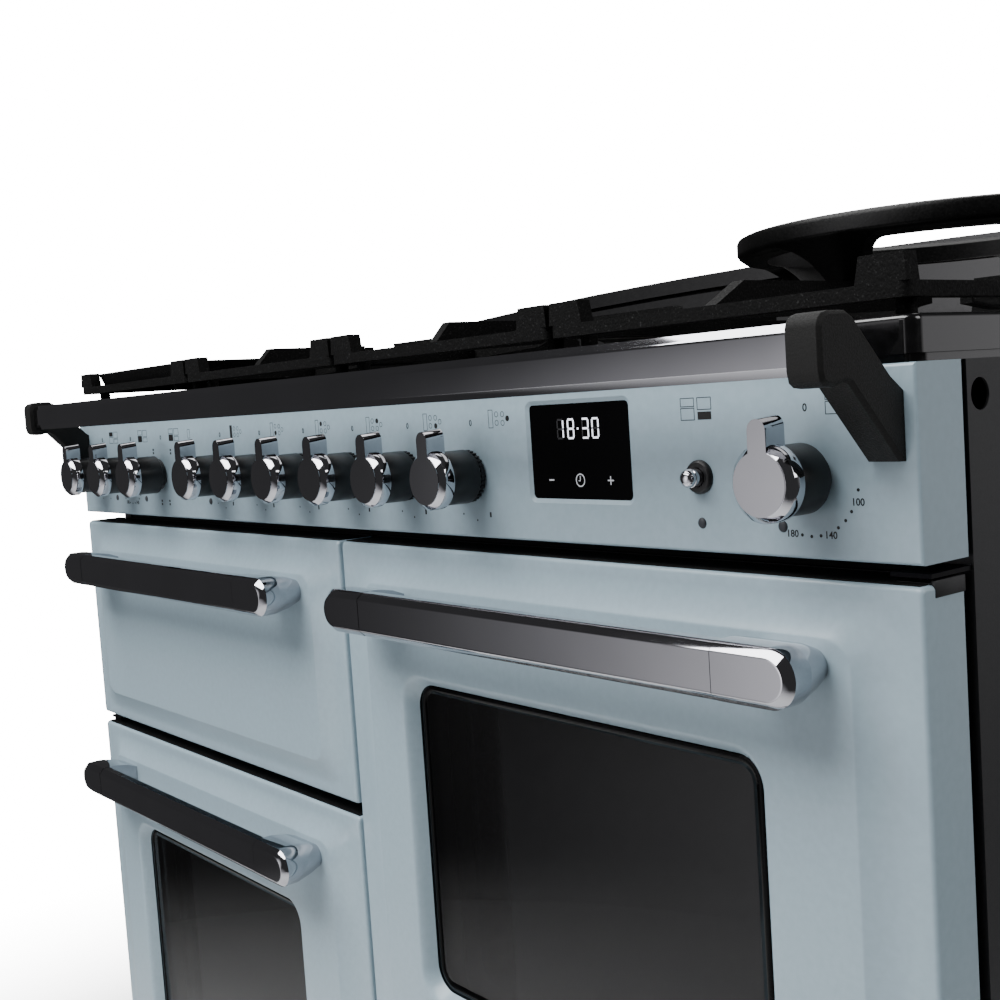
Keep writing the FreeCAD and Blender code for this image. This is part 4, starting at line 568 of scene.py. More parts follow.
# %% A cap over the upper hinge of each oven door
CAP_SIZE = (3 * MM, 27 * MM, 9 * MM)
CAP_IN, CAP_BACK, CAP_DOWN = 1.0 * MM, 24 * MM, 4.6 * MM
for door, side in (("right_oven_door", 1), ("left_oven_door", 0)):
    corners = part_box(door + "_panel")
    x, top = corners[side].x, corners[1].z
    bm = bmesh.new()
    block(bm, CAP_SIZE, (x - math.copysign(CAP_IN, x), FRONT + CAP_BACK, top - CAP_DOWN))
    bmesh.ops.bevel(bm, geom=bm.edges[:], offset=0.7 * MM, segments=2, affect="EDGES", profile=0.5, material=-1)
    finish_mesh(bm, door + "_hinge_cap", SIDE_COAT, door, 30)
print("last hinge cap at x and top", round(x, 4), round(top, 4))

# %% [markdown]
# ## Windows
# Behind the outer glass a band of dots is printed all round: a flat frame just inside the pane. The inner pane
# carries the grey film, a shallow tray that starts a way in from the left and fades in there. Its grey is painted light
# for the lit inside of the oven, and its fade is painted shade where that inside is dark. A thin bright trim stands
# just before it.

# %% Printed frame, painted-light film and trim of each window
DOT_BAND, PANE_PLAY, PRINT_THICK = 9 * MM, 0.2 * MM, 0.08 * MM
FILM_START, FILM_FADE, FILM_LAP, FILM_BACK = 176 * MM, 12 * MM, 6 * MM, 7.6 * MM
TRIM_X, TRIM_BACK, TRIM_WIDE, TRIM_THICK = 153.2 * MM, 7.2 * MM, 0.5 * MM, 0.2 * MM
for side in ("left", "right"):
    door = side + "_oven_door"
    low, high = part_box(door + "_panel")
    z0, z1 = low.z + WINDOW["bottom"], high.z - WINDOW["top"]
    pane = (low.x + WINDOW["left"], high.x - WINDOW["right"], z0, z1)
    bm = bmesh.new()
    skin(bm, [inset_ring(bm, pane, (inset,) * 4, radius, FRONT + WINDOW_DEPTH - 0.1 * MM)
              for inset, radius in ((PANE_PLAY, WINDOW_R), (DOT_BAND, WINDOW_R - DOT_BAND))])
    piece = finish_mesh(bm, side + "_window_dots", DOTS, door)
    add_modifier(piece, "SOLIDIFY", thickness=PRINT_THICK, offset=0)
    # The film's grey is painted light inside the oven, and its fade at the left is painted shade.
    start = low.x + FILM_START
    bm = bmesh.new()
    skin(bm, [inset_ring(bm, (start, *pane[1:]), insets, radius, FRONT + FILM_BACK)
              for insets, radius in (((0, -FILM_LAP, -FILM_LAP, -FILM_LAP), 4 * MM), ((4 * MM, 0, 0, 0), 3 * MM))],
         close_last=True)
    film = finish_mesh(bm, side + "_window_film", grey_film_painted_interior(start, start + FILM_FADE), door)
    bm = bmesh.new()
    block(bm, (TRIM_WIDE, TRIM_THICK, z1 - z0), (low.x + TRIM_X, FRONT + TRIM_BACK, (z0 + z1) / 2))
    finish_mesh(bm, side + "_window_trim", STAINLESS, door)
    print(piece.name, film.name)

# %% [markdown]
# ## Bar handles
# A handle is a bar between two solid end blocks with stadium-shaped faces. Each block tapers back to the door, and
# a fine groove shows where the bar meets it. One stadium skin is made and cut by planes: the outer parts are the
# blocks, the middle, a little slimmer, is the bar, and a still slimmer core fills the grooves from inside.

# %% Cut a skin between two planes
HANDLE_GROWTH = (3.2 * MM, 0.8 * MM)    # how far the broad bevels reach below and above the bar
HANDLE_BEVEL, HANDLE_TAPER = 4.8 * MM, 9 * MM


def cut_side(bm, x, keep):
    """Cuts everything beyond a plane x away and closes the cut; keep is 1 for the part above x, -1 for below."""
    geom = bm.verts[:] + bm.edges[:] + bm.faces[:]
    made = bmesh.ops.bisect_plane(bm, geom=geom, plane_co=(x, 0, 0), plane_no=(-keep, 0, 0), clear_outer=True)
    edges = [g for g in made["geom_cut"] if isinstance(g, bmesh.types.BMEdge)]
    bmesh.ops.holes_fill(bm, edges=edges, sides=0)
    bmesh.ops.recalc_face_normals(bm, faces=bm.faces)


def handle_skin(low, high, door_y, slim=0.0, depth=None):
    """The handle's stadium rings, from its bevelled face to its root on the door, or only depth deep for the bar."""
    bm = bmesh.new()
    height = high.z - low.z + HANDLE_GROWTH[0] + HANDLE_GROWTH[1]
    z = (low.z + high.z + HANDLE_GROWTH[1] - HANDLE_GROWTH[0]) / 2
    face_y = low.y + slim
    bevel, taper = HANDLE_BEVEL, HANDLE_TAPER
    rows = [(inset, height - 2 * inset, face_y + back) for inset, back in (
        (bevel + 1.2 * MM, 0), (bevel + 0.15 * MM, 0), (bevel - 0.08 * MM, 0.1 * MM),
        (0.12 * MM, bevel - 0.1 * MM), (0, bevel + 0.12 * MM), (0, bevel + 0.8 * MM))]
    if depth is None:
        back = face_y + 17 * MM
        rows += [(0, height, back), (taper * 0.12, height - 0.6 * MM, back + 3 * MM),
                 (taper * 0.6, height - 5 * MM, door_y - 10 * MM), (taper, 20 * MM, door_y)]
    else:
        rows += [(0, height, face_y + depth - bevel), (bevel, height - bevel * 2, face_y + depth)]
    rings = []
    for inset, tall, y in rows:
        tall -= 2 * slim
        rings.append(ring(bm, low.x + inset, high.x - inset, z - tall / 2, z + tall / 2, tall / 2, y, steps=12))
    skin(bm, rings, close_first=True, close_last=True)
    return bm


def add_part(whole, part):
    """Copies one bmesh's shape into another."""
    mesh = bpy.data.meshes.new("part")
    part.to_mesh(mesh)
    part.free()
    whole.from_mesh(mesh)
    bpy.data.meshes.remove(mesh)


print("broad bevel:", HANDLE_BEVEL / MM, "mm")

# %% Make the four handles
HANDLE_BLOCK, SEAM, LAP = 53 * MM, 0.6 * MM, 0.3 * MM
for door in ("grill_door", "left_oven_door", "right_oven_door", "drawer"):
    low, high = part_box(door + "_handle")
    root_y = FRONT - PILLOW["height"]
    whole = bmesh.new()
    for keep, x in ((-1, low.x + HANDLE_BLOCK), (1, high.x - HANDLE_BLOCK)):
        end_block = handle_skin(low, high, root_y)
        cut_side(end_block, x, keep)
        add_part(whole, end_block)
    for slim, depth, gap in ((0.15 * MM, 16.2 * MM, SEAM), (1.3 * MM, 15.3 * MM, -LAP)):
        bar = handle_skin(low, high, root_y, slim, depth)
        cut_side(bar, low.x + HANDLE_BLOCK + gap, 1)
        cut_side(bar, high.x - HANDLE_BLOCK - gap, -1)
        add_part(whole, bar)
    piece = finish_mesh(whole, door + "_handle_plated", DARK_CHROME, door, 24, (door + "_handle",))
    print(piece.name, [round(v, 4) for v in low])

# %% [markdown]
# ## Knobs
# Each knob is a mirror-plated cap on a dark satin skirt. The cap has a round face that runs into an upright lever
# in one flat keyhole shape, with a sloping collar and a narrow band behind it. The collar and the skirt are turned
# shapes, so they are spun from a profile. The face is a disc and a lever joined by a Boolean, so that it stays one
# flat mirror, and a small Bevel catches light along its rim.

# %% Knob sizes and profiles
KNOB_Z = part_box("knob_grill")[0].z + 21 * MM
FACE_D, LEVER_ROOT = 41 * MM, 25.7 * MM
LEVER_W, LEVER_TOP, LEVER_DRAFT = 12 * MM, 33.6 * MM, 1.4 * MM
collar_profile = [(9, 29.2), (20.4, 29.2), (20.8, 29.6), (20.8, 37.1), (20.65, 37.4), (17.2, 40.6), (16.4, 40.75),
                  (9, 40.75)]
skirt_end = [(18.8, 28.4), (18.4, 29.3), (8.6, 29.3)]
skirt_profile = [(8.6, 5), (13.4, 5), (13.4, 0.8), (15.1, 0.8), (15.4, 1.1), (15.4, 4.6), (18.4, 5.6), (19, 6.4),
                 *skirt_end]
gas_skirt_profile = [(8.6, 5), (13.4, 5), (13.4, 0.8), (17.3, 0.8), (17.6, 1.1), (17.6, 4.6), (18.6, 5.6), (19, 6.2),
                     *skirt_end]


def spun(bm, profile, steps=72, closed=True):
    """Spins a profile of (radius, distance forward) in millimetres once around the y axis."""
    verts = [bm.verts.new((r * MM, -d * MM, 0)) for r, d in profile]
    pairs = zip(verts, verts[1:] + verts[:1] if closed else verts[1:])
    edges = [bm.edges.new(pair) for pair in pairs]
    bmesh.ops.spin(bm, geom=edges, cent=(0, 0, 0), axis=(0, 1, 0), angle=2 * math.pi, steps=steps, use_merge=True)
    bmesh.ops.remove_doubles(bm, verts=bm.verts, dist=0.001 * MM)
    bmesh.ops.recalc_face_normals(bm, faces=bm.faces)


print("knob axis height", round(KNOB_Z, 4))

# %% The keyhole face
disc_bm, lever_bm = bmesh.new(), bmesh.new()
spun(disc_bm, [(0, 30), (17, 30), (17, 41), (0, 41)], steps=96, closed=False)
lever_rings = [ring(lever_bm, -LEVER_W / 2, LEVER_W / 2, -6 * MM, LEVER_TOP + draft, LEVER_W / 2, -d, steps=12)
               for d, draft in ((LEVER_ROOT, LEVER_DRAFT), (FACE_D, 0))]
skin(lever_bm, lever_rings, close_first=True, close_last=True)
disc, lever = loose(disc_bm, "disc"), loose(lever_bm, "lever")
join(disc, lever, "UNION")
add_modifier(disc, "BEVEL", width=0.4 * MM, segments=1, limit_method="ANGLE", angle_limit=math.radians(50))
keyhole = solid_from(disc)
bpy.data.objects.remove(lever)
print("keyhole face:", len(keyhole.polygons), "faces")

# %% Put the ten knobs on their spindles
RIB_COUNT = 30
knob_x = {n: (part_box(n)[0].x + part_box(n)[1].x) / 2 for n in sorted(nodes) if n.startswith("knob_")}


def knob_piece(name, suffix, build, material, angle):
    """One part of a knob, moved to its spindle and riding on the knob's body."""
    bm = bmesh.new()
    build(bm)
    move(bm, (knob_x[name], FRONT, KNOB_Z))
    finish_mesh(bm, name + suffix, material, name + "_body", angle, (name,))


def ribs(bm):
    """The ribbed grip ring behind a gas knob's skirt: one small block, repeated all round."""
    for k in range(RIB_COUNT):
        turn(bm, k * math.tau / RIB_COUNT, "Y", block(bm, (1.8 * MM, 3.4 * MM, 1.5 * MM), (17.6 * MM, -3 * MM, 0)))


for name in knob_x:
    profile = gas_skirt_profile if name.endswith("burner") else skirt_profile
    knob_piece(name, "_skirt", lambda bm: spun(bm, profile), SKIRT, 35)
    knob_piece(name, "_collar", lambda bm: spun(bm, collar_profile), CHROME, 28)
    knob_piece(name, "_face", lambda bm: bm.from_mesh(keyhole), CHROME, 28)
    if name.endswith("burner"):
        knob_piece(name, "_ribs", ribs, BLACK_PLASTIC, 30)
print("knobs stand at", [round(x, 4) for x in knob_x.values()])

# %% [markdown]
# ## Push button and lamps
# The ignition button is a plated dome on a short barrel, in a dark recessed bezel. The pilot lamps are small smoked
# lenses that reach through the fascia, and three more lenses at the left show when an oven heats.

# %% Button, bezel and lamps
Z0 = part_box("fascia")[0].z
low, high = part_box("push_button")
BUTTON_X, tip = (low.x + high.x) / 2, (FRONT - low.y) / MM
button_profile = [(0, tip), (2.0, tip - 0.25), (3.6, tip - 0.9), (4.9, tip - 2.2), (5.4, tip - 3.6), (5.45, tip - 4.4),
                  (5.0, tip - 4.7), (5.0, tip - 5.2), (5.45, tip - 5.5), (5.5, 3.4), (5.5, -4.6), (3, -4.6),
                  (3, -21.8), (0, -21.8)]
bezel_profile = [(5.8, 3.1), (6.4, 3.2), (8.6, 2.9), (9.4, 2.2), (10, 1.0), (10, 0), (8, 0), (8, -18), (3.1, -18),
                 (3.1, -16.5), (5.8, -16.5)]


def turned(profile, x, z, steps, closed=False):
    """A turned shape on the fascia."""
    bm = bmesh.new()
    spun(bm, profile, steps, closed)
    move(bm, (x, FRONT, z))
    return bm


finish_mesh(turned(button_profile, BUTTON_X, KNOB_Z, 48), "push_button_plated", CHROME, "button", 30,
            ("push_button",))
finish_mesh(turned(bezel_profile, BUTTON_X, KNOB_Z, 64, True), "button_bezel_moulded", BLACK_PLASTIC, "root", 30,
            ("lamps_and_bezel",))
lens = [(0, 1.2), (1.6, 1.1), (2.6, 0.7)]
pilot_lens = lens + [(3.1, 0.1), (3.25, -0.4), (3.25, -18), (0, -18)]
heat_lens = lens + [(3.1, 0.2), (3.2, 0.03), (0, 0.03)]
PILOT_Z, HEAT_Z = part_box("lamps_and_bezel")[0].z + 3.25 * MM, Z0 + 17.9 * MM
lamps = {"pilot_lamp_1": (pilot_lens, BUTTON_X - 0.2 * MM, PILOT_Z),
         "pilot_lamp_2": (pilot_lens, BUTTON_X + 58.5 * MM, PILOT_Z),
         "heat_lamp_1": (heat_lens, -0.4529, HEAT_Z),
         "heat_lamp_2": (heat_lens, -0.3763, HEAT_Z),
         "heat_lamp_3": (heat_lens, -0.2276, HEAT_Z)}
for name, (profile, x, z) in lamps.items():
    finish_mesh(turned(profile, x, z, 32), name, LAMP_LENS, "root", 30)
print("button at x", round(BUTTON_X, 4), "and lamps:", len(lamps))

# %% [markdown]
# ## Clock
# Black glass fills a bevelled recess. The time is four seven-segment digits with a dot between the pairs, unlit
# segments just visible, and below it minus, a small clock and plus, printed and given a faint painted glow. A segment
# is one short thin bar, and the small clock is a circle with two hands.

# %% Thin bars and round marks
INK_Y, INK = FRONT - 0.04 * MM, 0.07 * MM


def flat_bar(bm, x, z, length, width, upright=False, y=INK_Y, thick=INK):
    """A thin bar on an upright surface."""
    bar = block(bm, (length, thick, width))
    if upright:
        turn(bm, math.pi / 2, "Y", bar)
    move(bm, (x, y, z), bar)
    return bar


def disc_mark(bm, x, z, radius, y=INK_Y, steps=12, hollow=0.0):
    """A round dot, or a thin circle when hollow is its line's width."""
    flat = Matrix.Translation((x, y, z)) @ Matrix.Rotation(math.pi / 2, 4, "X")
    if not hollow:
        bmesh.ops.create_cone(bm, cap_ends=True, segments=steps, radius1=radius, radius2=radius, depth=INK, matrix=flat)
        return
    circles = [bmesh.ops.create_circle(bm, segments=steps, radius=r, matrix=flat)["verts"]
               for r in (radius, radius - hollow)]
    before = set(bm.faces)
    skin(bm, [list({e for v in circle for e in v.link_edges}) for circle in circles])
    pull(bm, [f for f in bm.faces if f not in before], (0, -INK / 2, 0))


print("prints stand", INK / MM, "mm proud")

# %% Digits
GLASS_Y = FRONT + 1.6 * MM
DIGIT_W, DIGIT_H, STROKE, DIGIT_Z = 6.6 * MM, 13.2 * MM, 1.15 * MM, Z0 + 74.2 * MM
digit_x = [0.2806, 0.2907, 0.3045, 0.3138]
segment_sets = {"1": "BC", "8": "ABCDEFG", "3": "ABCDG", "0": "ABCDEF"}
segment_places = {"A": (0, 1, 0), "G": (0, 0, 0), "D": (0, -1, 0), "F": (-1, 0.5, 1), "B": (1, 0.5, 1),
                  "E": (-1, -0.5, 1), "C": (1, -0.5, 1)}


def glass_bar(bm, x, z, length, width, upright=False, lift_mm=0.05):
    """A thin bar just above the clock's glass."""
    flat_bar(bm, x, z, length, width, upright, GLASS_Y - lift_mm * MM, 0.06 * MM)


def digit(bm, x, segments, lift_mm):
    """The bars of one digit."""
    for sx, sz, upright in (segment_places[s] for s in segments):
        length = (DIGIT_H / 2 if upright else DIGIT_W) - STROKE * 1.4
        glass_bar(bm, x + sx * (DIGIT_W - STROKE) / 2, DIGIT_Z + sz * (DIGIT_H - STROKE) / 2, length, STROKE, upright,
                  lift_mm)


lit_bm, off_bm = bmesh.new(), bmesh.new()
for x, figure in zip(digit_x, "1830"):
    digit(lit_bm, x, segment_sets[figure], 0.05)
    digit(off_bm, x, [s for s in segment_places if s not in segment_sets[figure]], 0.04)
glass_bar(lit_bm, 0.2974, DIGIT_Z, 1.3 * MM, 1.3 * MM)
finish_mesh(lit_bm, "clock_time_lit", SEGMENT_LIGHT, "root")
finish_mesh(off_bm, "clock_time_unlit", SEGMENT_OFF, "root")
print("clock reads 18:30 at height", round(DIGIT_Z, 4))

# %% Minus, small clock and plus
ICON_Z = Z0 + 41.1 * MM
icons = bmesh.new()
glass_bar(icons, 0.2692, ICON_Z, 5 * MM, 0.8 * MM)
glass_bar(icons, 0.3252, ICON_Z, 5.4 * MM, 0.8 * MM)
glass_bar(icons, 0.3252, ICON_Z, 5.4 * MM, 0.8 * MM, True, 0.052)
disc_mark(icons, 0.2971, ICON_Z, 4.3 * MM, GLASS_Y - 0.03 * MM, steps=32, hollow=0.7 * MM)
glass_bar(icons, 0.2971, ICON_Z + 1.4 * MM, 2.8 * MM, 0.55 * MM, True)
glass_bar(icons, 0.2963, ICON_Z - 0.4 * MM, 1.8 * MM, 0.55 * MM, False, 0.052)
# The icons' print carries a painted glow.
finish_mesh(icons, "clock_icons", ICON_PAINTED_GLOW, "root")
print("icons at height", round(ICON_Z, 4))

# %% [markdown]
# ## Marks on the fascia
# Each knob has a zero, a small drawing of what it controls, and its settings. Outlines are thin frames, dots are
# short discs and figures are type, all a few hundredths of a millimetre proud like fired-on ink.

# %% Drawings in ink
LINE = 0.42 * MM


def frame_mark(bm, x0, x1, z0, z1, line=LINE, filled=False):
    """A thin rectangle, or a filled one."""
    x, z = (x0 + x1) / 2, (z0 + z1) / 2
    if filled:
        flat_bar(bm, x, z, x1 - x0, z1 - z0)
        return
    for edge in (z0, z1):
        flat_bar(bm, x, edge, x1 - x0 + line, line)
    for edge in (x0, x1):
        flat_bar(bm, edge, z, z1 - z0 - line, line, True)


def oven_mark(bm, x, z, width, height, filled):
    """The four-box drawing of the cooker's front; filled names the box that the knob works."""
    half, gap = width / 2, width * 0.055
    boxes = {"grill": (-half, -gap, height * 0.12, height * 0.5), "left": (-half, -gap, -height * 0.5, height * 0.04),
             "right": (gap, half, -height * 0.04, height * 0.5), "drawer": (gap, half, -height * 0.5, -height * 0.14)}
    for name, (x0, x1, z0, z1) in boxes.items():
        frame_mark(bm, x + x0, x + x1, z + z0, z + z1, filled=name == filled)


def hob_mark(bm, x, z, filled):
    """The hob drawing: the griddle's box, four round burners and the wok burner."""
    frame_mark(bm, x - 10.9 * MM, x - 6.3 * MM, z - 6.1 * MM, z + 6.1 * MM, filled=filled == "griddle")
    rounds = {"rear_left": (-2.1, 3.0), "rear_right": (4.4, 2.9), "front_left": (-2.1, -2.8),
              "front_right": (4.4, -3.0), "wok": (9.6, -0.1)}
    for name, (dx, dz) in rounds.items():
        disc_mark(bm, x + dx * MM, z + dz * MM, 2.0 * MM, steps=20, hollow=0 if name == filled else LINE)


def flame(bm, x, z):
    """A small flame's sign: an upright bar, drawn in at the back of its top."""
    top = [v for v in flat_bar(bm, x, z, 3.6 * MM, 2.0 * MM, True) if v.co.z > z and v.co.y > INK_Y]
    bmesh.ops.scale(bm, vec=(0.25, 1, 1), space=Matrix.Translation((-x, 0, 0)), verts=top)


def dial_place(name, k, radius):
    """Where step k of a knob's dial lies: the steps run clockwise from just below the right."""
    a = math.radians(DIAL_START + DIAL_STEP * k)
    return knob_x[name] + radius * math.cos(a), KNOB_Z - radius * math.sin(a)


DIAL_START, DIAL_STEP, DIAL_STEPS = 11.3, 11.25, 16
print("ink lines are", LINE / MM, "mm wide")

# %% Draw all the marks
MARK_Z = Z0 + 83 * MM
zero_shift = {"knob_grill": 8, "knob_left_oven_function": 7.8, "knob_left_oven_heat": 6.7, "knob_griddle_burner": 5.8,
              "knob_front_left_burner": 5, "knob_rear_left_burner": 4.2, "knob_rear_right_burner": 3.9,
              "knob_front_right_burner": 3.4, "knob_wok_burner": 3.5, "knob_right_oven": -0.7}
print_x = {name: x + zero_shift[name] * MM for name, x in knob_x.items()}
marks = bmesh.new()
for name, x in print_x.items():
    if name.endswith("burner"):
        hob_mark(marks, x + 31.7 * MM, MARK_Z, name.replace("knob_", "").replace("_burner", ""))
        disc_mark(marks, x - 14.8 * MM, Z0 + 16.4 * MM, 0.75 * MM)
        disc_mark(marks, x + 1.0 * MM, Z0 + 12.3 * MM, 0.75 * MM)
        flame(marks, x + 16.3 * MM, Z0 + 16.6 * MM)
    else:
        which = {"knob_grill": "grill", "knob_right_oven": "right"}.get(name, "left")
        oven_mark(marks, x + (24.7 if which == "right" else 31.2) * MM, MARK_Z, 22.6 * MM, 12 * MM, which)
oven_mark(marks, 0.4009, MARK_Z, 23.4 * MM, 12.6 * MM, "drawer")
dial_words = {1: "100", 5: "140", 9: "180", 13: "220"}
dial_knobs = ("knob_right_oven", "knob_left_oven_function")
for name in dial_knobs:
    for k in range(DIAL_STEPS):
        if k not in dial_words:
            disc_mark(marks, *dial_place(name, k, 31.4 * MM), 0.95 * MM)
for x in (-0.4939, -0.472):
    disc_mark(marks, x, Z0 + 16.5 * MM, 0.8 * MM)
# Pairs of tiny squares, one above the other, are the signs of the oven functions.
for x, z in ((-0.3498, 66.9), (-0.3087, 66.3), (-0.3383, 14.7), (-0.3199, 14.9)):
    for dz in (-1.7, 1.7):
        flat_bar(marks, x, Z0 + (z + dz) * MM, 3.0 * MM, 2.2 * MM)
frame_mark(marks, -0.2668, -0.2618, MARK_Z - 4 * MM, MARK_Z + 4.4 * MM, 0.35 * MM)
mark_piece = finish_mesh(marks, "fascia_marks", FASCIA_INK, "root")
print("marks:", len(mark_piece.data.polygons), "faces")

# %% [markdown]
# ## Figures
# Zeros and temperatures are set as type. A text curve is turned into a mesh first, and only then stood upright and
# put in its place, so that its object can stay at the origin.

# %% Printed figures
CAP_SHARE = 0.72    # a capital's height as a share of its type size


def figures(entries, name, height):
    """Several short texts, each (text, x, z), as one upright mesh."""
    bm = bmesh.new()
    for text, x, z in entries:
        curve = bpy.data.curves.new("type", "FONT")
        curve.body, curve.size, curve.align_x, curve.align_y = text, height / CAP_SHARE, "CENTER", "CENTER"
        curve.extrude, curve.offset = INK / 2, 0.11 * MM
        curve.resolution_u = 4
        mesh = solid_from(add_object("type", curve))
        mesh.transform(Matrix.Translation((x, INK_Y, z)) @ Matrix.Rotation(math.pi / 2, 4, "X"))
        bm.from_mesh(mesh)
        bpy.data.meshes.remove(mesh)
    finish_mesh(bm, name, FASCIA_INK, "root")


figures([("0", x, Z0 + 80.7 * MM) for x in print_x.values()], "fascia_zeros", 4.3 * MM)
entries = [(word, *dial_place(name, k, 32.9 * MM)) for name in dial_knobs for k, word in dial_words.items()]
figures(entries, "fascia_figures", 3.9 * MM)
print("figures:", len(entries), "and zeros:", len(print_x))

# %% [markdown]
# ## Cast iron
# The pan supports come as plain castings with knife-sharp edges. A real casting has small rounds everywhere, so a
# copy of each is welded, its edges are rounded by a Bevel and it stands for the plain one. The brackets get the same
# treatment with their own finish.

# %% Softened copies of castings
casting_rides = {"pan_support_left": "left_support", "pan_support_right": "right_support", "wok_support": "wok_stand",
                 "griddle_support": "griddle_stand", "griddle_plate": "griddle", "handrail_brackets": "root"}
for name, body in casting_rides.items():
    bm = bmesh.new()
    bm.from_mesh(nodes[name].data)
    bmesh.ops.remove_doubles(bm, verts=bm.verts, dist=0.01 * MM)
    bmesh.ops.dissolve_limit(bm, angle_limit=math.radians(1), verts=bm.verts, edges=bm.edges)
    material, slot = (BRACKET_COAT, "black_casting") if body == "root" else (CAST_IRON, "cast_iron")
    piece = finish_mesh(bm, name + "_finished", material, body, 40, (name,))
    add_modifier(piece, "BEVEL", width=(1.5 if name == "griddle_plate" else 1.2) * MM, segments=2,
                 limit_method="ANGLE", angle_limit=math.radians(30), use_clamp_overlap=True)
    add_modifier(piece, "WEIGHTED_NORMAL", keep_sharp=False)
print("castings rounded:", len(casting_rides))

# %% [markdown]
# ## Handrail
# The rail is a drawn bar with a flat face, a soft roll into a tilted facet above, and a crease with a slanted facet
# below. Its section is drawn once and extruded from end to end.

# %% Draw the rail
low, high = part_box("handrail_bar")
tall = (high.z - low.z) / MM
rail_section = [(1.9, 0), (0.3, 4.2), (0, 4.7), (0, tall - 5.4), (0.12, tall - 4.4), (0.45, tall - 3.6),
                (0.9, tall - 2.9), (2.3, tall), (15, tall), (15, 0)]
bm = bmesh.new()
end_face = bm.faces.new([bm.verts.new((low.x, low.y + back * MM, low.z + up * MM)) for back, up in rail_section])
pull(bm, [end_face], (high.x - low.x, 0, 0))
bmesh.ops.recalc_face_normals(bm, faces=bm.faces)
finish_mesh(bm, "handrail_bar_drawn", DARK_CHROME, "root", 16, ("handrail_bar",))
print("rail:", round(high.x - low.x, 3), "m long,", round(tall, 1), "mm tall")

# %% [markdown]
# ## Burners
# Each round burner is a slotted aluminium crown with a domed black cap, a turned shape. The griddle's burner has
# one long cap, made of rings.

# %% Burner caps
burners = [(36, -0.1355, 0.148), (49, -0.1355, 0.42), (27, 0.1355, 0.42), (36, 0.1355, 0.148), (62, 0.4065, 0.25)]
LONG_X, LONG_Y, LONG_HALF, LONG_SIDE = -0.4065, 0.25, 92.5 * MM, 19.5 * MM
caps = bmesh.new()


def seat_cap(part, x, y):
    """Lays a cap flat on its burner and adds it to the others."""
    turn(part, -math.pi / 2, "X")
    move(part, (x, FRONT + y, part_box("burner_caps")[0].z))
    add_part(caps, part)


for radius, x, y in burners:
    r = radius - 2.5
    part = bmesh.new()
    spun(part, [(0, 5.2), (r * 0.45, 5.3), (r * 0.8, 5.7), (r * 0.93, 5.6), (r * 0.985, 4.6), (r, 3.0), (r, 0.4),
                (r - 0.6, 0), (0, 0)], steps=64, closed=False)
    seat_cap(part, x, y)
part = bmesh.new()
rings = [ring(part, i - LONG_SIDE, LONG_SIDE - i, i - LONG_HALF, LONG_HALF - i, 19.4 * MM - i, -h, steps=10)
         for i, h in ((0.6 * MM, 0), (0, 0.5 * MM), (0, 3.5 * MM), (1.2 * MM, 5 * MM), (4 * MM, 5.7 * MM))]
skin(part, rings, close_first=True, close_last=True)
seat_cap(part, LONG_X, LONG_Y)
cap_piece = finish_mesh(caps, "burner_caps_domed", BLACK_GLOSS, "root", 30, ("burner_caps",))
print("caps:", len(cap_piece.data.polygons), "faces")

# %% [markdown]
# ## Wok ring
# The wok ring is a single casting: a dished rim that runs down into four broad legs, with an arch between each two.
# It is spun from its section, four tapering arches with rounded corners are cut away by a Boolean, and a Bevel
# rounds every edge as the foundry does.

# %% Spin the ring and cut its arches
low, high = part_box("wok_cradle")
WOK_R, WOK_H, FOOT_R = (high.x - low.x) / 2 / MM + 1.4, (high.z - low.z) / MM + 1.2, 108
rim_low = WOK_H - 12
wok_section = [(FOOT_R - 9, 0), (FOOT_R, 0), (FOOT_R + (WOK_R - FOOT_R) * 0.45, rim_low * 0.5),
               (WOK_R - 1.2, rim_low - 1), (WOK_R, rim_low + 1.2), (WOK_R, WOK_H - 3.6), (WOK_R - 1.2, WOK_H - 1.2),
               (WOK_R - 4, WOK_H), (WOK_R - 8, WOK_H - 0.6), (WOK_R - 18.5, WOK_H - 3.2), (WOK_R - 20, WOK_H - 4.4),
               (WOK_R - 20, rim_low - 3.6)]
ARCH_TOP, ARCH_R, ARCH_SPREAD = (rim_low - 4.2) * MM, 18 * MM, math.tan(math.pi / 4 * 0.8)
bm = bmesh.new()
spun(bm, wok_section, steps=128)
turn(bm, -math.pi / 2, "X")
wok_body = loose(bm, "wok_body")
arches = []
for k in range(4):
    bm = bmesh.new()
    rings = [ring(bm, -d * ARCH_SPREAD * MM, d * ARCH_SPREAD * MM, -30 * MM, ARCH_TOP, ARCH_R, -d * MM, steps=10)
             for d in (0.5 * FOOT_R, WOK_R + 5)]
    skin(bm, rings, close_first=True, close_last=True)
    turn(bm, math.radians(45 + 90 * k), "Z")
    arches.append(loose(bm, "arch"))
    join(wok_body, arches[-1])
bm = bmesh.new()
bm.from_mesh(solid_from(wok_body))
for arch in arches:
    bpy.data.objects.remove(arch)
move(bm, ((low.x + high.x) / 2, (low.y + high.y) / 2, low.z))
wok = finish_mesh(bm, "wok_ring_cast", WOK_IRON, "wok_ring", 40, ("wok_cradle",))
add_modifier(wok, "BEVEL", width=1.2 * MM, segments=3, limit_method="ANGLE", angle_limit=math.radians(40))
add_modifier(wok, "WEIGHTED_NORMAL", keep_sharp=False)
print("wok ring:", len(wok.data.polygons), "faces")

# %% [markdown]
# ## Studio
# A pale floor, a white surround that the camera sees behind the cooker, and dark surroundings in the reflections,
# with a few large soft lights: that is how glossy black and chrome are photographed without losing their edges.
# The floor is see-through towards its rim, so it runs into the white. Soft patches of light in the dark surround are
# for the chrome: matt surfaces get only a tenth of them.

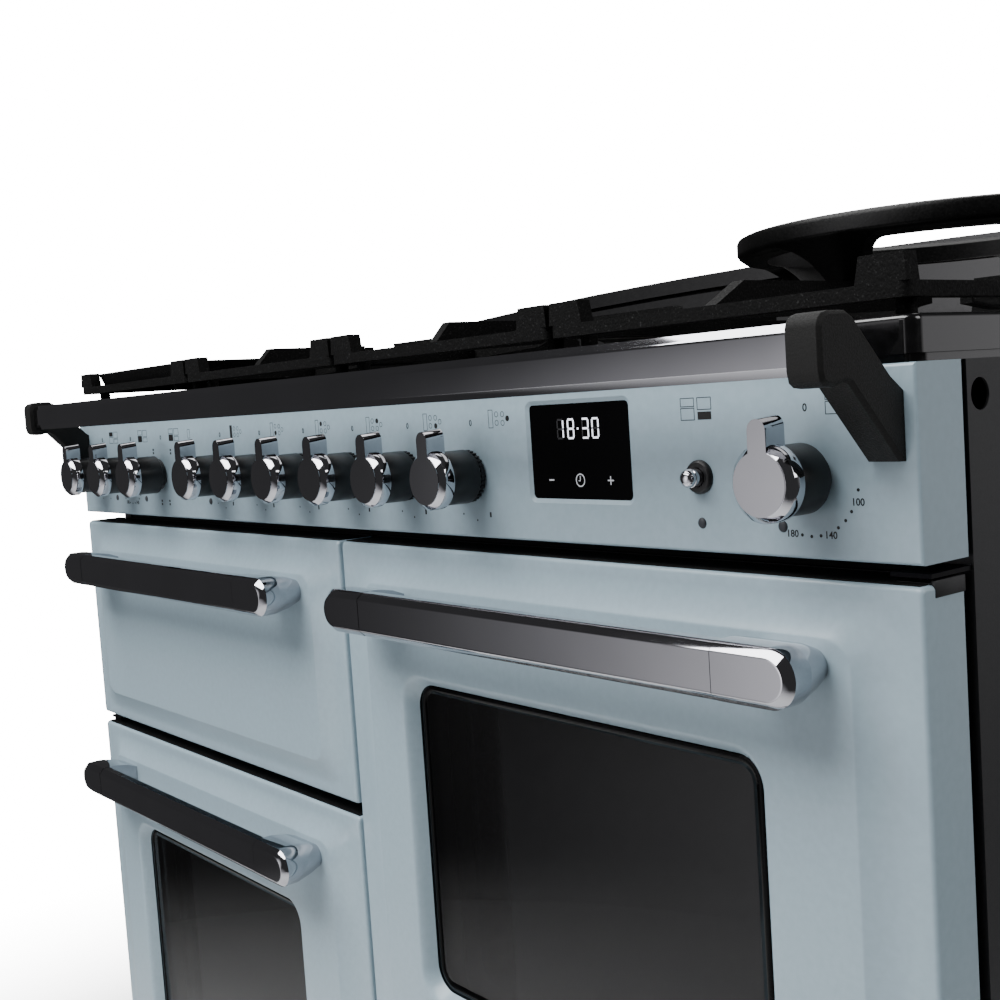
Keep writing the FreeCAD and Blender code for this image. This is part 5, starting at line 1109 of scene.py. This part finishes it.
# %% Floor
bm = bmesh.new()
bmesh.ops.create_grid(bm, x_segments=8, y_segments=8, size=2.4)
floor = loose(bm, "studio_floor")
floor.location.z = -0.002
paper, tree, shader, place = new_finish("pale_studio_paper", IOR=1.3)
grain(tree, shader, place, 400.0, "#F2F2F2", "#F6F6F6", (0.85, 0.95))
away = add_node(tree, "ShaderNodeVectorMath", {0: place}, operation="LENGTH").outputs["Value"]
fade = ranged(tree, away, 0.75, 1.7, 1.0, 0.0, interpolation_type="SMOOTHSTEP")
tree.links.new(fade, shader.inputs["Alpha"])
floor.data.materials.append(paper)
print("floor", floor.name, "fades out from 0.75 to 1.7 m")

# %% Surround
world = bpy.data.worlds.new("studio")
bpy.context.scene.world = world
world.use_nodes = True
tree = world.node_tree
tree.nodes.clear()
path = add_node(tree, "ShaderNodeLightPath")
gaze = add_node(tree, "ShaderNodeTexCoord").outputs["Generated"]
MATT_SHARE, DARK_LEVEL, WHITE_LEVEL = 0.1, 0.055, 18.0
glows = [((-0.43, -0.888, -0.17), 36, 10, 1.1, 3), ((-0.24, -0.96, 0.12), 26, 8, 2.0, 1.5),
         ((-0.1, -0.75, -0.65), 46, 16, 0.9, 1.5), ((0.5, 0.86, 0.05), 30, 10, 0.8, 1.5)]


def glow(direction, start, full, strength, fall):
    """A soft patch of light in the dark surround: start and full are angles from its middle, in degrees."""
    towards = {0: gaze, 1: Vector(direction).normalized()}
    lobe = add_node(tree, "ShaderNodeVectorMath", towards, operation="DOT_PRODUCT").outputs["Value"]
    ramp = ranged(tree, lobe, math.cos(math.radians(start)), math.cos(math.radians(full)))
    return maths(tree, "MULTIPLY", maths(tree, "POWER", ramp, fall), strength)


light = glow(*glows[0])
for patch in glows[1:]:
    light = maths(tree, "ADD", light, glow(*patch))
share = ranged(tree, path.outputs["Is Diffuse Ray"], 0.0, 1.0, 1.0, MATT_SHARE)
level = maths(tree, "ADD", maths(tree, "MULTIPLY", light, share), DARK_LEVEL)
skies = [add_node(tree, "ShaderNodeBackground", {"Color": linear(colour), "Strength": strength}).outputs[0]
         for colour, strength in (("#F4F3F6", level), ("#FFFFFF", WHITE_LEVEL))]
both = add_node(tree, "ShaderNodeMixShader", {0: path.outputs["Is Camera Ray"], 1: skies[0], 2: skies[1]})
add_node(tree, "ShaderNodeOutputWorld", {"Surface": both.outputs[0]})
print("surround ready with", len(glows), "patches of light")

# %% Soft lights
softboxes = {"key_softbox": ((-0.35, -1.75, 3.0), (0.0, -0.3, 0.7), (2.9, 1.7), 160),
             "right_softbox": ((2.9, 0.5, 2.0), (0.5, -0.1, 0.7), (1.4, 1.4), 30),
             "top_softbox": ((-0.8, 1.3, 3.0), (0.0, -0.2, 0.8), (2.4, 1.8), 28)}
for name, (place, target, size, power) in softboxes.items():
    data = bpy.data.lights.new(name, "AREA")
    data.shape, data.size, data.size_y, data.energy = "RECTANGLE", size[0], size[1], power
    lamp = add_object(name, data)
    lamp.location = place
    lamp.rotation_euler = (Vector(target) - Vector(place)).to_track_quat("-Z", "Y").to_euler()
print("lights:", list(softboxes))

# %% [markdown]
# ## Camera
# The camera stands close, a little above the right end of the cooker, and looks along its front. Its turn is given
# by the directions of its right, up and back.

# %% Camera
camera_data = bpy.data.cameras.new("camera")
camera_data.lens, camera_data.sensor_width = 46.93, 36
camera_data.clip_start = 0.05
camera = add_object("camera", camera_data)
right, up, back = (0.62429, 0.77838, -0.06627), (-0.01781, 0.09899, 0.99493), (0.78099, -0.61994, 0.07566)
camera.matrix_world = (Matrix.Translation((0.9163, -0.8286, 0.8755)) @
                       Matrix((right, up, back)).transposed().to_4x4())
bpy.context.scene.camera = camera
print("camera at", tuple(round(v, 3) for v in camera.location))
